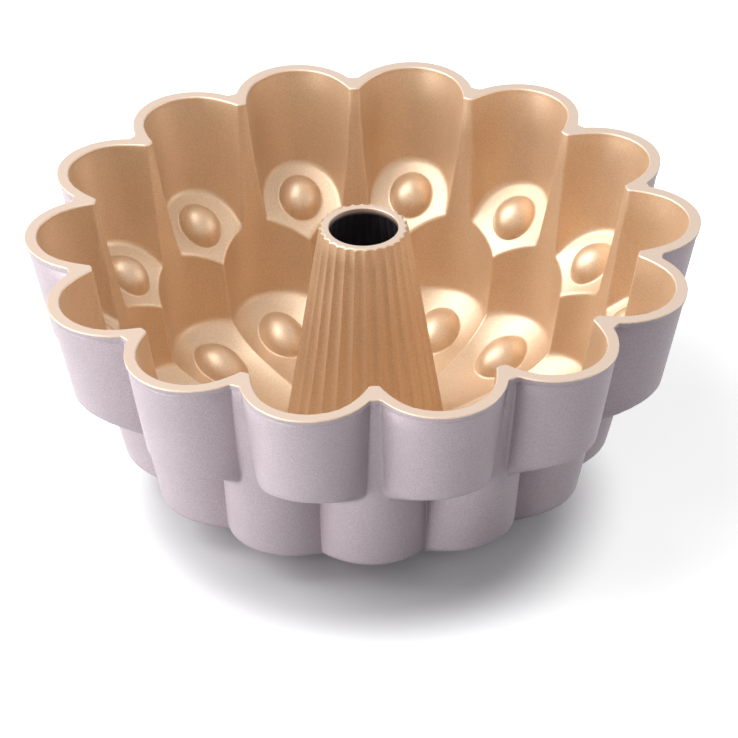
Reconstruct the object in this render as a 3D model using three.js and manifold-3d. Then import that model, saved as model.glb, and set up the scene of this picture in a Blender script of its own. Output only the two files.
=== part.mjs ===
// Kugelhopf mould: one aluminium casting with a ring of scalloped lobes in two tiers, a fluted centre tube,
// a non-stick coat inside and a lacquer coat outside. Millimetres, +Z up. The origin is the middle of the
// standing face, and one cusp of the rim points along -Y.
import * as THREE from 'three';
import { mergeVertices } from 'three/addons/utils/BufferGeometryUtils.js';
import Module from 'manifold-3d';

// Overall size
const RIM_DIAMETER = 260;        // across the outside of two opposite rim lobes
const HEIGHT = 105;              // standing face to rim
const LOBES = 14;                // lobes in each tier

// Casting and coats
const WALL = 4.7;                // side walls of the upper lobes
const LEDGE_WALL = 3.7;          // under the ledges
const FLOOR_WALL = 5;            // under the petals of the floor
const COAT = 0.3;                // each coat, drawn thicker than the sprayed film

// Upper tier, measured on the finished inside
const UPPER_RADIUS = 23.7;       // lobe radius at the rim
const UPPER_TAPER = 0.14;        // radius lost for each millimetre of depth
const UPPER_LEAN = 0.05;         // inward shift of the lobe's axis for each millimetre of depth
const LEDGE_DEPTH = 49.9;        // ledge below the rim, on the lobe's axis at the rim
const LEDGE_SLOPE = 36;          // degrees, down towards the middle

// Lower tier: inside and outside lobes lean by different amounts, so the wall is thickest at the rim
const LOWER_RADIUS = 24.6;
const LOWER_TAPER = 0.018;
const LOWER_LEAN = 0.14;
const CUSP_BLUNT = 0.4;          // lower lobes stand this far outside the point where the rim lobes cross
const RIM_WEB = 10.6;            // wall of a lower lobe at the rim, between two upper lobes
const SHELL_RADIUS = 15.5;       // outside of a lower lobe at the rim
const SHELL_TAPER = -0.085;      // the outside grows on its way down
const SHELL_LEAN = 0.31;

// Floor: each lower lobe ends in a dished petal, steep beside the wall and nearly level towards the tube
const PETAL_SECTION = 40;        // radius across a petal
const PETAL_BEND_OUTSET = 7.38;  // bend of the petal, outwards from the lower lobe's axis at the bend
const PETAL_BEND_HEIGHT = 8;     // bend of the petal, above the standing face
const PETAL_STEEP = 37;          // degrees, beside the wall
const PETAL_LEVEL = 5.7;         // degrees, towards the tube
const STAND_DIAMETER = 104;      // flat ring that the mould stands on

// Eggs: one dome on every ledge and every petal
const UPPER_EGG = { length: 21.4, width: 17.8, rise: 6.4, inset: -1.3, lift: -0.4 };
const LOWER_EGG = { length: 25.6, width: 19.2, rise: 6.8, inset: 0.6, lift: 2.9, tilt: 21 };

// Centre tube
const TUBE_TOP_RADIUS = 17.2;    // over the flutes' ridges, at the rim's height
const TUBE_TAPER = 0.159;        // radius gained for each millimetre of depth
const TUBE_FOOT = 11;            // radius of the fillet onto the floor
const FLUTES_PER_LOBE = 2;
const FLUTE_DEPTH = 0.7;
const BORE_RADIUS = 13.4;
const BORE_LIP = 3;              // depth of the narrow mouth of the bore
const HOLLOW_WALL = 3.6;         // tube wall below the mouth

// Facets
const HALF_LOBE_COLUMNS = 5;
const EGG_AROUND = 8;
const EGG_RINGS = 4;
const BORE_SEGMENTS = 28;
const FOOT_RINGS = 2;

const OVER = 20;                 // how far cutting tools reach past what they cut
const RADIANS = Math.PI / 180;
const PITCH = 2 * Math.PI / LOBES;
const HALF = PITCH / 2;
const FRONT = -Math.PI / 2;

/** Distance from the mould's axis to the far side of a circle, seen at an angle from the circle's own direction. */
function reach(axis, radius, angle) {
  const across = axis * Math.sin(angle);
  return axis * Math.cos(angle) + Math.sqrt(Math.max(0, radius ** 2 - across ** 2));
}

const upperAxis = RIM_DIAMETER / 2 - WALL - UPPER_RADIUS;
const lowerApex = reach(upperAxis, UPPER_RADIUS, HALF) + CUSP_BLUNT;
const lowerAxis = lowerApex - LOWER_RADIUS;
const shellAxis = lowerApex + RIM_WEB - SHELL_RADIUS;
const petalBend = lowerAxis - LOWER_LEAN * (HEIGHT - PETAL_BEND_HEIGHT) + PETAL_BEND_OUTSET;

/** Root of a rising function between two bounds. */
function solve(rising, low, high) {
  let [a, b] = [low, high];
  for (let i = 0; i < 60; i += 1) {
    const middle = (a + b) / 2;
    if (rising(middle) < 0) a = middle;
    else b = middle;
  }
  return (a + b) / 2;
}

/** Height of the petal's surface at x along the petal and w across it, moved down square to itself by drop. */
function petalHeight(x, w, drop, degrees) {
  const radius = PETAL_SECTION + drop;
  const rise = PETAL_SECTION - Math.sqrt(Math.max(0, radius ** 2 - w ** 2));
  return PETAL_BEND_HEIGHT + (x - petalBend) * Math.tan(degrees * RADIANS) + rise / Math.cos(degrees * RADIANS);
}

/** Distance from the mould's axis to the petal's bend, at an angle from the petal's own direction. */
function bendReach(angle, drop) {
  return solve((r) => {
    const [x, w] = [r * Math.cos(angle), r * Math.sin(angle)];
    return petalHeight(x, w, drop, PETAL_STEEP) - petalHeight(x, w, drop, PETAL_LEVEL);
  }, 0, RIM_DIAMETER);
}

/** One lobed surface of the mould, inside or outside: its upper lobes, ledges, lower lobes and petals. */
class LobedSurface {
  constructor({ upperRadius, axis, radius, taper, lean, ledgeDrop, floorDrop }) {
    Object.assign(this, { upperRadius, axis, radius, taper, lean, floorDrop });
    this.ledge = LEDGE_DEPTH + ledgeDrop / Math.cos(LEDGE_SLOPE * RADIANS);
    this.corner = solve((depth) => depth - this.ledgeAt(this.seam(depth), depth), 0, HEIGHT);
    this.cornerAngle = this.seam(this.corner);
  }

  /** Radius of the lower lobe at an angle from its own direction. */
  lower(angle, depth) {
    return reach(this.axis - this.lean * depth, this.radius - this.taper * depth, angle);
  }

  /** Radius of the upper lobe at an angle from the lower lobe's direction. */
  upper(angle, depth) {
    return reach(upperAxis - UPPER_LEAN * depth, this.upperRadius - UPPER_TAPER * depth, HALF - angle);
  }

  /** Angle at which the upper lobe's wall meets the lower lobe's. */
  seam(depth) {
    return solve((angle) => {
      const across = (upperAxis - UPPER_LEAN * depth) * Math.sin(HALF - angle);
      if (across > this.upperRadius - UPPER_TAPER * depth) return -1;
      return this.upper(angle, depth) - this.lower(angle, depth);
    }, 0, HALF);
  }

  /** Depth of the ledge where the lower lobe has its wall at this angle and depth. */
  ledgeAt(angle, depth) {
    const x = this.lower(angle, depth) * Math.cos(HALF - angle);
    return this.ledge - (x - upperAxis) * Math.tan(LEDGE_SLOPE * RADIANS);
  }

  /** Angle round the upper lobe's own axis from its tip to the seam. */
  turn(depth) {
    const angle = this.seam(depth);
    const r = this.upper(angle, depth);
    const x = r * Math.cos(HALF - angle) - upperAxis + UPPER_LEAN * depth;
    return Math.atan2(r * Math.sin(HALF - angle), x);
  }

  /** Point on the upper lobe's wall, given its turn round the lobe's axis. */
  upperPoint(turn, depth) {
    const radius = this.upperRadius - UPPER_TAPER * depth;
    const x = upperAxis - UPPER_LEAN * depth + radius * Math.cos(turn);
    const w = radius * Math.sin(turn);
    return { angle: HALF - Math.atan2(w, x), r: Math.hypot(x, w), depth };
  }

  lowerPoint(angle, depth) {
    return { angle, r: this.lower(angle, depth), depth };
  }

  /** Angles of the columns of half a lobe, from the lower lobe's direction to the upper lobe's. */
  angles() {
    const rest = HALF_LOBE_COLUMNS - 1;
    const fan = Array.from({ length: rest + 1 }, (_, i) => this.cornerAngle + (HALF - this.cornerAngle) * i / rest);
    return [0, ...fan];
  }

  /** Outline at one depth above the ledge. */
  outline(depth) {
    const rest = HALF_LOBE_COLUMNS - 1;
    const turn = this.turn(depth);
    const arc = Array.from({ length: rest + 1 }, (_, i) => this.upperPoint(turn * (1 - i / rest), depth));
    return [this.lowerPoint(0, depth), ...arc];
  }

  /** Outline of the rim, just below it and carried straight up past it. */
  rim(above) {
    const outline = this.outline(0);
    return [COAT / 2, -above].map((depth) => outline.map((point) => ({ ...point, depth })));
  }

  /** Outer edge of the ledge. */
  ledgeOuter() {
    const rest = HALF_LOBE_COLUMNS - 1;
    const slope = Math.tan(LEDGE_SLOPE * RADIANS);
    const first = this.turn(this.corner);
    const arc = Array.from({ length: rest }, (_, i) => {
      const turn = first * (1 - (i + 1) / rest);
      const above = this.ledge - slope * this.upperRadius * Math.cos(turn);
      return this.upperPoint(turn, above / (1 - slope * (UPPER_LEAN + UPPER_TAPER * Math.cos(turn))));
    });
    return [this.lowerPoint(0, this.corner), this.lowerPoint(this.cornerAngle, this.corner), ...arc];
  }

  /** Inner edge of the ledge, along the walls of the two lower lobes under it. */
  ledgeInner() {
    return this.angles().map((angle, i) => {
      if (i < 2) return this.lowerPoint(angle, this.corner);
      return this.lowerPoint(angle, solve((depth) => depth - this.ledgeAt(angle, depth), 0, HEIGHT));
    });
  }

  /** Foot of the lower lobe's wall, on the steep part of its petal. */
  wallFoot() {
    return this.angles().map((angle) => this.lowerPoint(angle, solve((depth) => {
      const r = this.lower(angle, depth);
      const floor = petalHeight(r * Math.cos(angle), r * Math.sin(angle), this.floorDrop, PETAL_STEEP);
      return floor - (HEIGHT - depth);
    }, 0, HEIGHT + OVER)));
  }

  /** Bend between the steep and the level part of the petal. */
  bend() {
    return this.angles().map((angle) => {
      const r = bendReach(angle, this.floorDrop);
      return { angle, r, depth: HEIGHT - this.level(angle, r) };
    });
  }

  /** Height of the level part of the petal. */
  level(angle, r) {
    return petalHeight(r * Math.cos(angle), r * Math.sin(angle), this.floorDrop, PETAL_LEVEL);
  }
}

const wasm = await Module();
wasm.setup();

/** Closed solid of a three.js geometry, without the faces whose corners fall together. */
function solid(geometry) {
  const bare = new THREE.BufferGeometry();
  bare.setAttribute('position', geometry.getAttribute('position').clone());
  if (geometry.index) bare.setIndex(geometry.index.clone());
  const merged = mergeVertices(bare, 1e-5);
  const corners = merged.index.array;
  const kept = [];
  for (let i = 0; i < corners.length; i += 3) {
    const face = [corners[i], corners[i + 1], corners[i + 2]];
    if (new Set(face).size === 3) kept.push(...face);
  }
  return new wasm.Manifold(new wasm.Mesh({
    numProp: 3,
    vertProperties: Float32Array.from(merged.getAttribute('position').array),
    triVerts: Uint32Array.from(kept),
  }));
}

/** Union of a list of solids. */
function join(solids) {
  return solids.reduce((whole, next) => whole.add(next));
}

/** One solid for each lobe of a tier, from a geometry that lies along +X. */
function ring(geometry, firstStep) {
  return Array.from({ length: LOBES }, (_, k) => solid(geometry.clone().rotateZ(FRONT + (k + firstStep) * PITCH)));
}

/** Full ring of points from the columns of half a lobe, mirrored and repeated round the axis. */
function fullRing(half) {
  const mirrored = half.slice(1, -1).reverse().map((point) => ({ ...point, angle: PITCH - point.angle }));
  const lobe = [...half, ...mirrored];
  return Array.from({ length: LOBES }, (_, k) => lobe.map(({ angle, r, depth }) => {
    const turn = FRONT + k * PITCH + angle;
    return new THREE.Vector3(r * Math.cos(turn), r * Math.sin(turn), HEIGHT - depth);
  })).flat();
}

/** Loft through rings of equal length from the bottom up, closed by flat fans at both ends. */
function loft(rings) {
  const count = rings[0].length;
  const points = rings.flat();
  const faces = [];
  for (let r = 0; r + 1 < rings.length; r += 1) {
    for (let i = 0; i < count; i += 1) {
      const a = r * count + i;
      const b = r * count + (i + 1) % count;
      faces.push(a, b, b + count, a, b + count, a + count);
    }
  }
  const bottom = points.length;
  const last = (rings.length - 1) * count;
  points.push(new THREE.Vector3(0, 0, rings[0][0].z));
  points.push(new THREE.Vector3(0, 0, rings[rings.length - 1][0].z));
  for (let i = 0; i < count; i += 1) {
    const j = (i + 1) % count;
    faces.push(bottom, j, i, bottom + 1, last + i, last + j);
  }
  return new THREE.BufferGeometry().setFromPoints(points).setIndex(faces);
}

/** Ring of flute ridges and grooves. */
function flutedRing(radius, grooveDepth, z) {
  const corners = 2 * FLUTES_PER_LOBE * LOBES;
  return Array.from({ length: corners }, (_, i) => {
    const angle = FRONT + i * 2 * Math.PI / corners;
    const r = radius - (i % 2) * grooveDepth;
    return new THREE.Vector3(r * Math.cos(angle), r * Math.sin(angle), z);
  });
}

/** Centre tube with its foot, smaller by inset all round. It reaches past the rim and is cut off level with it. */
function tube(inset) {
  const ridge = (z) => TUBE_TOP_RADIUS + TUBE_TAPER * (HEIGHT - z) - inset;
  const lean = Math.atan(TUBE_TAPER);
  const footAxis = solve((r) => {
    const floor = petalHeight(r, 0, inset, PETAL_LEVEL);
    return r - TUBE_FOOT * Math.cos(lean) - ridge(floor + TUBE_FOOT * (1 - Math.sin(lean)));
  }, 0, RIM_DIAMETER);
  const floor = petalHeight(footAxis, 0, inset, PETAL_LEVEL);
  const rings = Array.from({ length: FOOT_RINGS + 1 }, (_, k) => {
    const angle = Math.PI + lean + (Math.PI / 2 - lean) * (1 - k / FOOT_RINGS);
    const radius = footAxis + TUBE_FOOT * Math.cos(angle);
    return flutedRing(radius, FLUTE_DEPTH * k / FOOT_RINGS, floor + TUBE_FOOT * (1 + Math.sin(angle)));
  });
  const skirt = flutedRing(footAxis, 0, -OVER);
  const top = flutedRing(ridge(HEIGHT + OVER), FLUTE_DEPTH, HEIGHT + OVER);
  return solid(loft([skirt, ...rings, top]));
}

/** Egg-shaped dome lying on a slope, smaller by inset all round. */
function egg(size, x, z, degrees, inset) {
  const dome = new THREE.SphereGeometry(1, EGG_AROUND, EGG_RINGS);
  dome.rotateX(Math.PI / 2);
  dome.scale(size.length / 2 - inset, size.width / 2 - inset, size.rise - inset);
  return dome.rotateY(-degrees * RADIANS).translate(x, 0, z);
}

/** Room for the batter: lobes, ledges and petals less the eggs and the tube, larger by grow all round. */
function cavity(grow) {
  const surface = new LobedSurface({
    upperRadius: UPPER_RADIUS + grow,
    axis: lowerAxis,
    radius: LOWER_RADIUS + grow,
    taper: LOWER_TAPER,
    lean: LOWER_LEAN,
    ledgeDrop: grow,
    floorDrop: grow,
  });
  const middle = surface.angles().map((angle) => {
    const r = TUBE_TOP_RADIUS;
    return { angle, r, depth: HEIGHT - surface.level(angle, r) };
  });
  const rings = [
    middle,
    surface.bend(),
    surface.wallFoot(),
    surface.ledgeInner(),
    surface.ledgeOuter(),
    ...surface.rim(OVER),
  ];
  const upperEggX = upperAxis - UPPER_EGG.inset;
  const ledgeZ = HEIGHT - LEDGE_DEPTH - UPPER_EGG.inset * Math.tan(LEDGE_SLOPE * RADIANS);
  const lowerEggX = petalBend - LOWER_EGG.inset;
  const eggs = [
    ...ring(egg(UPPER_EGG, upperEggX, ledgeZ + UPPER_EGG.lift, LEDGE_SLOPE, grow), 0.5),
    ...ring(egg(LOWER_EGG, lowerEggX, PETAL_BEND_HEIGHT + LOWER_EGG.lift, LOWER_EGG.tilt, grow), 0),
  ];
  return solid(loft(rings.map(fullRing))).subtract(join(eggs)).subtract(tube(grow));
}

/** Outside of the mould as if filled, smaller by inset all round. Only the casting reaches the standing face,
 *  and the rim is cut off level later. */
function envelope(inset) {
  const surface = new LobedSurface({
    upperRadius: UPPER_RADIUS + WALL - inset,
    axis: shellAxis,
    radius: SHELL_RADIUS - inset,
    taper: SHELL_TAPER,
    lean: SHELL_LEAN,
    ledgeDrop: LEDGE_WALL - inset,
    floorDrop: FLOOR_WALL - inset,
  });
  const bend = surface.bend();
  const run = bend[0].r - STAND_DIAMETER / 2;
  const rise = HEIGHT - bend[0].depth;
  const edge = STAND_DIAMETER / 2 - inset * Math.hypot(run, rise) / rise;
  const foot = (z) => surface.angles().map((angle) => ({ angle, r: edge + z * run / rise, depth: HEIGHT - z }));
  const rings = [
    foot(COAT),
    bend,
    surface.wallFoot(),
    surface.ledgeInner(),
    surface.ledgeOuter(),
    ...surface.rim(OVER / 2),
  ];
  if (inset > 0) rings.unshift(foot(0));
  return solid(loft(rings.map(fullRing)));
}

/** Slab between two heights. */
function slab(low, high) {
  const size = 2 * RIM_DIAMETER;
  return solid(new THREE.BoxGeometry(size, size, high - low).translate(0, 0, (low + high) / 2));
}

/** Bore through the tube: a narrow mouth at the top and a hollow that widens down to the standing face. */
function bore() {
  const hollow = (depth) => TUBE_TOP_RADIUS - FLUTE_DEPTH + TUBE_TAPER * depth - HOLLOW_WALL;
  const profile = [
    new THREE.Vector2(0, -OVER),
    new THREE.Vector2(hollow(HEIGHT + OVER), -OVER),
    new THREE.Vector2(Math.max(hollow(BORE_LIP), BORE_RADIUS), HEIGHT - BORE_LIP),
    new THREE.Vector2(BORE_RADIUS, HEIGHT - BORE_LIP),
    new THREE.Vector2(BORE_RADIUS, HEIGHT + OVER),
    new THREE.Vector2(0, HEIGHT + OVER),
  ];
  return solid(new THREE.LatheGeometry(profile, BORE_SEGMENTS).rotateX(Math.PI / 2));
}

/** Mesh of a finished solid. */
function piece(name, shape, color, roughness, metalness) {
  const mesh = shape.getMesh();
  const geometry = new THREE.BufferGeometry();
  geometry.setAttribute('position', new THREE.BufferAttribute(mesh.vertProperties, 3));
  geometry.setIndex(new THREE.BufferAttribute(mesh.triVerts, 1));
  geometry.computeVertexNormals();
  const node = new THREE.Mesh(geometry, new THREE.MeshStandardMaterial({ color, roughness, metalness }));
  node.name = name;
  return node;
}

const hole = bore();
const finishedCavity = cavity(0);
const castCavity = cavity(COAT);
const finishedShell = envelope(0);
const castShell = envelope(COAT);

const belowCoat = slab(-OVER, HEIGHT - COAT);
const casting = castShell.intersect(belowCoat).subtract(castCavity).subtract(hole);
const outsideCoat = finishedShell.subtract(castShell).intersect(belowCoat);
const rimCoat = finishedShell.intersect(slab(HEIGHT - COAT, HEIGHT + OVER));
const coated = castCavity.add(rimCoat).intersect(slab(-OVER, HEIGHT));
const insideCoat = coated.subtract(finishedCavity).subtract(hole);

const mould = new THREE.Group();
mould.add(
  piece('cast_body', casting, 0x8f8d8b, 0.55, 0.9),
  piece('inner_coating', insideCoat, 0xc9976a, 0.38, 0.55),
  piece('outer_coating', outsideCoat, 0xb9aab2, 0.5, 0.35),
);

export default mould;
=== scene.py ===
"""Kugelhopf mould: smooth surfaces, finishes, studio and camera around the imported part.

The mould has fourteen-fold mirror symmetry, so every surface is worked out on half a lobe and then
mirrored and turned. Lengths are millimetres until a mesh is made. In the half lobe an angle of 0 is the
direction of a lower lobe and an angle of half a pitch is the direction of an upper lobe.
"""

import logging
import math
from collections.abc import Callable
from dataclasses import dataclass, field
from enum import Enum

import bpy
import numpy as np
from mathutils import Matrix, Vector
from numpy.typing import NDArray


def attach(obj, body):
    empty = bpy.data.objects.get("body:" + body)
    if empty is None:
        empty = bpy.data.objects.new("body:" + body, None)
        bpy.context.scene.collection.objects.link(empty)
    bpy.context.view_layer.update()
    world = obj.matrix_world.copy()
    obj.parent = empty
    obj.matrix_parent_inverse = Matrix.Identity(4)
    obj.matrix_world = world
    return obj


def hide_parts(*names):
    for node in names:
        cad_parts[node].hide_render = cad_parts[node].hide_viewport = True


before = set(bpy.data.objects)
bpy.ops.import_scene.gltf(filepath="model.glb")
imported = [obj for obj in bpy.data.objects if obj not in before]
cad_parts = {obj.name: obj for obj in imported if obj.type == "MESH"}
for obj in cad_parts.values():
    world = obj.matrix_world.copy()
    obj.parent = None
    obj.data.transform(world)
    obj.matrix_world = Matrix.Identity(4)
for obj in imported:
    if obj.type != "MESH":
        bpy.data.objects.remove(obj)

Array = NDArray[np.float64]
Field = Callable[[Array, Array, Array], Array]
Color = tuple[float, float, float]
Place = tuple[float, float, float]
Stop = tuple[float, Color]
Feed = bpy.types.NodeSocket | float | tuple[float, ...]
LOG = logging.getLogger("mould")
MILLIMETRE = 0.001
NOT_ZERO = 1e-12  # added to a length before it divides


class Slot(Enum):
    """Material slots of the finishes."""

    CASTING = "cast_aluminium"
    GOLD = "gold_nonstick"
    MAUVE = "mauve_lacquer"


@dataclass(frozen=True)
class Egg:
    """Egg-shaped dome lying on a slope.

    The dome is the cap of an ellipsoid whose middle is sunk below the slope, so that its side meets the
    slope at a little less than a right angle.
    """

    length: float
    width: float
    rise: float
    x: float
    z: float
    tilt: float
    sunk: float = 0.26

    @property
    def axes(self) -> tuple[float, float, float]:
        """Half axes of the whole ellipsoid: along the slope, across it and square to it."""
        widen = 1.0 / math.sqrt(1.0 - self.sunk**2)
        return self.length / 2 * widen, self.width / 2 * widen, self.rise / (1.0 - self.sunk)

    @property
    def centre(self) -> tuple[float, float]:
        """Middle of the ellipsoid as distance from the mould's axis and height."""
        depth = self.sunk * self.axes[2]
        return self.x + depth * math.sin(self.tilt), self.z - depth * math.cos(self.tilt)

    def distance(self, x: Array, w: Array, z: Array) -> Array:
        """Distance outside the dome, to first order.

        With k0 the length of the point in units of the half axes and k1 the length of the same point
        divided once more by the half axes, the distance is k0 (k0 - 1) / k1.

        Args:
            x: Distance along the lobe's direction.
            w: Distance across it.
            z: Height.

        Returns:
            Signed distance, negative inside the dome.
        """
        a, b, c = self.axes
        x0, z0 = self.centre
        cos, sin = math.cos(self.tilt), math.sin(self.tilt)
        p = ((x - x0) * cos + (z - z0) * sin) / a
        q = w / b
        n = ((z - z0) * cos - (x - x0) * sin) / c
        off_middle = 1e-9
        k0 = np.sqrt(p * p + q * q + n * n) + off_middle
        k1 = np.sqrt((p / a) ** 2 + (q / b) ** 2 + (n / c) ** 2) + off_middle
        return k0 * (k0 - 1.0) / k1

    def point(self, turn: Array, latitude: Array) -> tuple[Array, Array, Array]:
        """Point of the ellipsoid.

        Along the slope it is a cos(turn) sin(latitude), across it b sin(turn) sin(latitude) and square
        to it c cos(latitude).

        Args:
            turn: Angle round the dome from its outer end.
            latitude: Angle from the top of the dome.

        Returns:
            x, w and z of the point.
        """
        a, b, c = self.axes
        x0, z0 = self.centre
        cos, sin = math.cos(self.tilt), math.sin(self.tilt)
        along = a * np.cos(turn) * np.sin(latitude)
        square = c * np.cos(latitude)
        return (
            x0 + along * cos - square * sin,
            b * np.sin(turn) * np.sin(latitude),
            z0 + along * sin + square * cos,
        )


@dataclass(frozen=True)
class Proportions:
    """Sizes of the mould.

    They are those of the part's source, with the ledges dished, the eggs and petals finely fitted, deeper
    flutes, and lobes and cusps shaped near the rim.
    """

    rim_diameter: float = 260.0
    height: float = 105.0
    lobes: int = 14
    wall: float = 4.7
    ledge_wall: float = 3.7
    floor_wall: float = 5.0
    coat: float = 0.3
    upper_radius: float = 23.7
    upper_taper: float = 0.14
    upper_lean: float = 0.05
    ledge_depth: float = 49.9
    ledge_slope: float = math.radians(34.5)
    ledge_dish: float = 50.0  # radius across a ledge
    ledge_sag: float = 1.5
    upper_egg_size: tuple[float, float, float] = (20.3, 17.7, 7.3)  # length, width and rise
    upper_egg_outset: float = 2.8  # outwards from the upper lobe's axis
    under_sag: float = 1.6
    under_rise: float = 5.2  # how far a ledge's underside curls up at the flanks
    lower_radius: float = 24.6
    lower_taper: float = 0.018
    lower_lean: float = 0.14
    cusp_blunt: float = 0.4
    rim_web: float = 10.6  # wall of a lower lobe at the rim, between two upper lobes
    shell_radius: float = 15.5
    shell_taper: float = -0.085
    shell_lean: float = 0.31
    petal_section: float = 40.0
    petal_bend_outset: float = 7.38
    petal_bend_height: float = 8.0
    petal_steep: float = math.radians(33.5)
    petal_level: float = math.radians(5.7)
    lower_egg_size: tuple[float, float, float] = (25.0, 18.6, 7.4)
    lower_egg_inset: float = 1.8  # inwards from the petal's bend
    lower_egg_lift: float = 1.9  # upwards from the petal's bend
    lower_egg_tilt: float = math.radians(20.0)
    stand_diameter: float = 104.0
    stand_cone: float = 0.123  # slope of the underside next to the standing ring
    stand_lift: float = 0.14  # keeps the lacquer clear of the table
    stand_step: float = 0.3
    tube_top_radius: float = 17.2
    tube_taper: float = 0.159
    tube_foot: float = 11.0
    flute_top: float = 1.15  # depth of a flute at the rim's height
    flute_low: float = 2.2  # and at the standing face
    flute_foot: tuple[float, float] = (7.0, 24.0)  # heights between which the flutes fade in
    hollow_flute: float = 0.55
    flank_cut: float = 2.2  # how far an upper lobe's flanks are drawn in at the rim
    flank_fade: float = 30.0  # depth over which that falls to a third
    web_cut: float = 2.0  # the same on the outside between two upper lobes
    thorn_round: float = 1.6  # bluntness of the wedge at a cusp of the rim
    thorn_slope: float = 1.5
    thorn_back: float = 0.8  # from the web's own cusp back to the wedge's tip
    thorn_fade: float = 0.06  # how much further back for each millimetre of depth
    bore_radius: float = 13.4
    bore_lip: float = 3.0
    hollow_wall: float = 3.6

    @property
    def pitch(self) -> float:
        """Angle between two lobes of a tier."""
        return 2.0 * math.pi / self.lobes

    @property
    def half(self) -> float:
        """Angle from a lower lobe to the next upper lobe."""
        return self.pitch / 2.0

    @property
    def upper_axis(self) -> float:
        """Distance of an upper lobe's axis from the mould's axis, at the rim."""
        return self.rim_diameter / 2.0 - self.wall - self.upper_radius

    @property
    def lower_apex(self) -> float:
        """Inside of a lower lobe at the rim, just outside the point where two upper lobes cross.

        Returns:
            Distance from the mould's axis.
        """
        across = self.upper_axis * math.sin(self.half)
        crossing = self.upper_axis * math.cos(self.half) + math.sqrt(self.upper_radius**2 - across**2)
        return crossing + self.cusp_blunt

    @property
    def lower_axis(self) -> float:
        """Distance of a lower lobe's axis from the mould's axis, at the rim."""
        return self.lower_apex - self.lower_radius

    @property
    def shell_axis(self) -> float:
        """The same for the outside of a lower lobe."""
        return self.lower_apex + self.rim_web - self.shell_radius

    @property
    def petal_bend(self) -> float:
        """Distance of a petal's bend from the mould's axis."""
        fall = self.height - self.petal_bend_height
        return self.lower_axis - self.lower_lean * fall + self.petal_bend_outset

    @property
    def upper_egg(self) -> Egg:
        """Dome on a ledge.

        Returns:
            The egg, lying on the ledge's slope.
        """
        outset = self.upper_egg_outset
        z = self.height - self.ledge_depth + outset * math.tan(self.ledge_slope) - self.ledge_sag
        return Egg(*self.upper_egg_size, self.upper_axis + outset, z, self.ledge_slope)

    @property
    def lower_egg(self) -> Egg:
        """Dome on a petal of the floor."""
        x, z = self.petal_bend - self.lower_egg_inset, self.petal_bend_height + self.lower_egg_lift
        return Egg(*self.lower_egg_size, x, z, self.lower_egg_tilt)


@dataclass(frozen=True)
class Rounding:
    """Widths over which neighbouring surfaces run into each other, and the shape of the rim's lip."""

    wall_foot: float = 1.6
    petal_bend: float = 5.0
    petal_ridge: float = 0.25
    lower_cusp: float = 1.3
    ridge_heights: tuple[float, float] = (11.0, 34.0)  # from a petal's ridge to the cusp above it
    floor_slant: float = 0.92  # turns a height above the floor into a distance from it
    ledge_root: float = 1.3
    ledge_lip: float = 1.0
    rim_cusp: float = 0.6
    thorn_root: float = 2.6
    egg_root: float = 0.8
    tube_root: float = 8.0
    rim_edge: float = 0.7
    rim_outer_edge: float = 0.25
    outer_edge: float = 0.9
    outer_corner: float = 3.4
    corner_from: float = 0.62  # share of an upper lobe's radius at which its corner begins
    outer_notch: float = 0.5
    outer_bottom: float = 1.4
    bowl: float = 4.0
    bowl_slant: float = 0.9
    bore_edge: float = 0.4
    coat_border: float = 0.6
    lip_height: float = 2.5
    lip_step: float = 0.5
    lip_edge: float = 0.2
    lip_groove: float = 0.3
    groove_drop: float = 0.35
    groove_width: float = 0.4


def smooth_max(a: Array, b: Array, width: Array | float) -> Array:
    """Larger of two fields, rounded where they differ by less than a width.

    The value is max(a, b) + (width - |a - b|)^2 / (4 width) inside the width and max(a, b) outside it.
    """
    near = np.maximum(width - np.abs(a - b), 0.0)
    return np.maximum(a, b) + near * near / (4.0 * width)


def smooth_min(a: Array, b: Array, width: Array | float) -> Array:
    """Smaller of two fields, rounded in the same way."""
    return -smooth_max(-a, -b, width)


def smooth_step(low: float, high: float, value: Array) -> Array:
    """Ramp from 0 at low to 1 at high with level ends: 3 t^2 - 2 t^3."""
    t = np.clip((value - low) / (high - low), 0.0, 1.0)
    return t * t * (3.0 - 2.0 * t)


def bisect(rising: Callable[[Array], Array], low: Array, high: Array) -> Array:
    """Root of a rising function, found by halving for whole arrays at once.

    Args:
        rising: Function that is negative at the low bound and positive at the high bound.
        low: Lower bounds.
        high: Upper bounds.

    Returns:
        The roots.
    """
    halvings = 56
    low, high = low.astype(float).copy(), high.astype(float).copy()
    for _ in range(halvings):
        middle = (low + high) / 2.0
        below = rising(middle) < 0.0
        low = np.where(below, middle, low)
        high = np.where(below, high, middle)
    return (low + high) / 2.0


def channel(x: Array, w: Array, axis: Array, radius: Array) -> Array:
    """Distance outside a round-ended channel that runs from the mould's axis to a lobe.

    Past the lobe's axis it is the distance from that axis less the radius, and before it the distance
    across the channel less the radius.
    """
    return np.hypot(np.maximum(x - axis, 0.0), w) - radius


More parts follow.
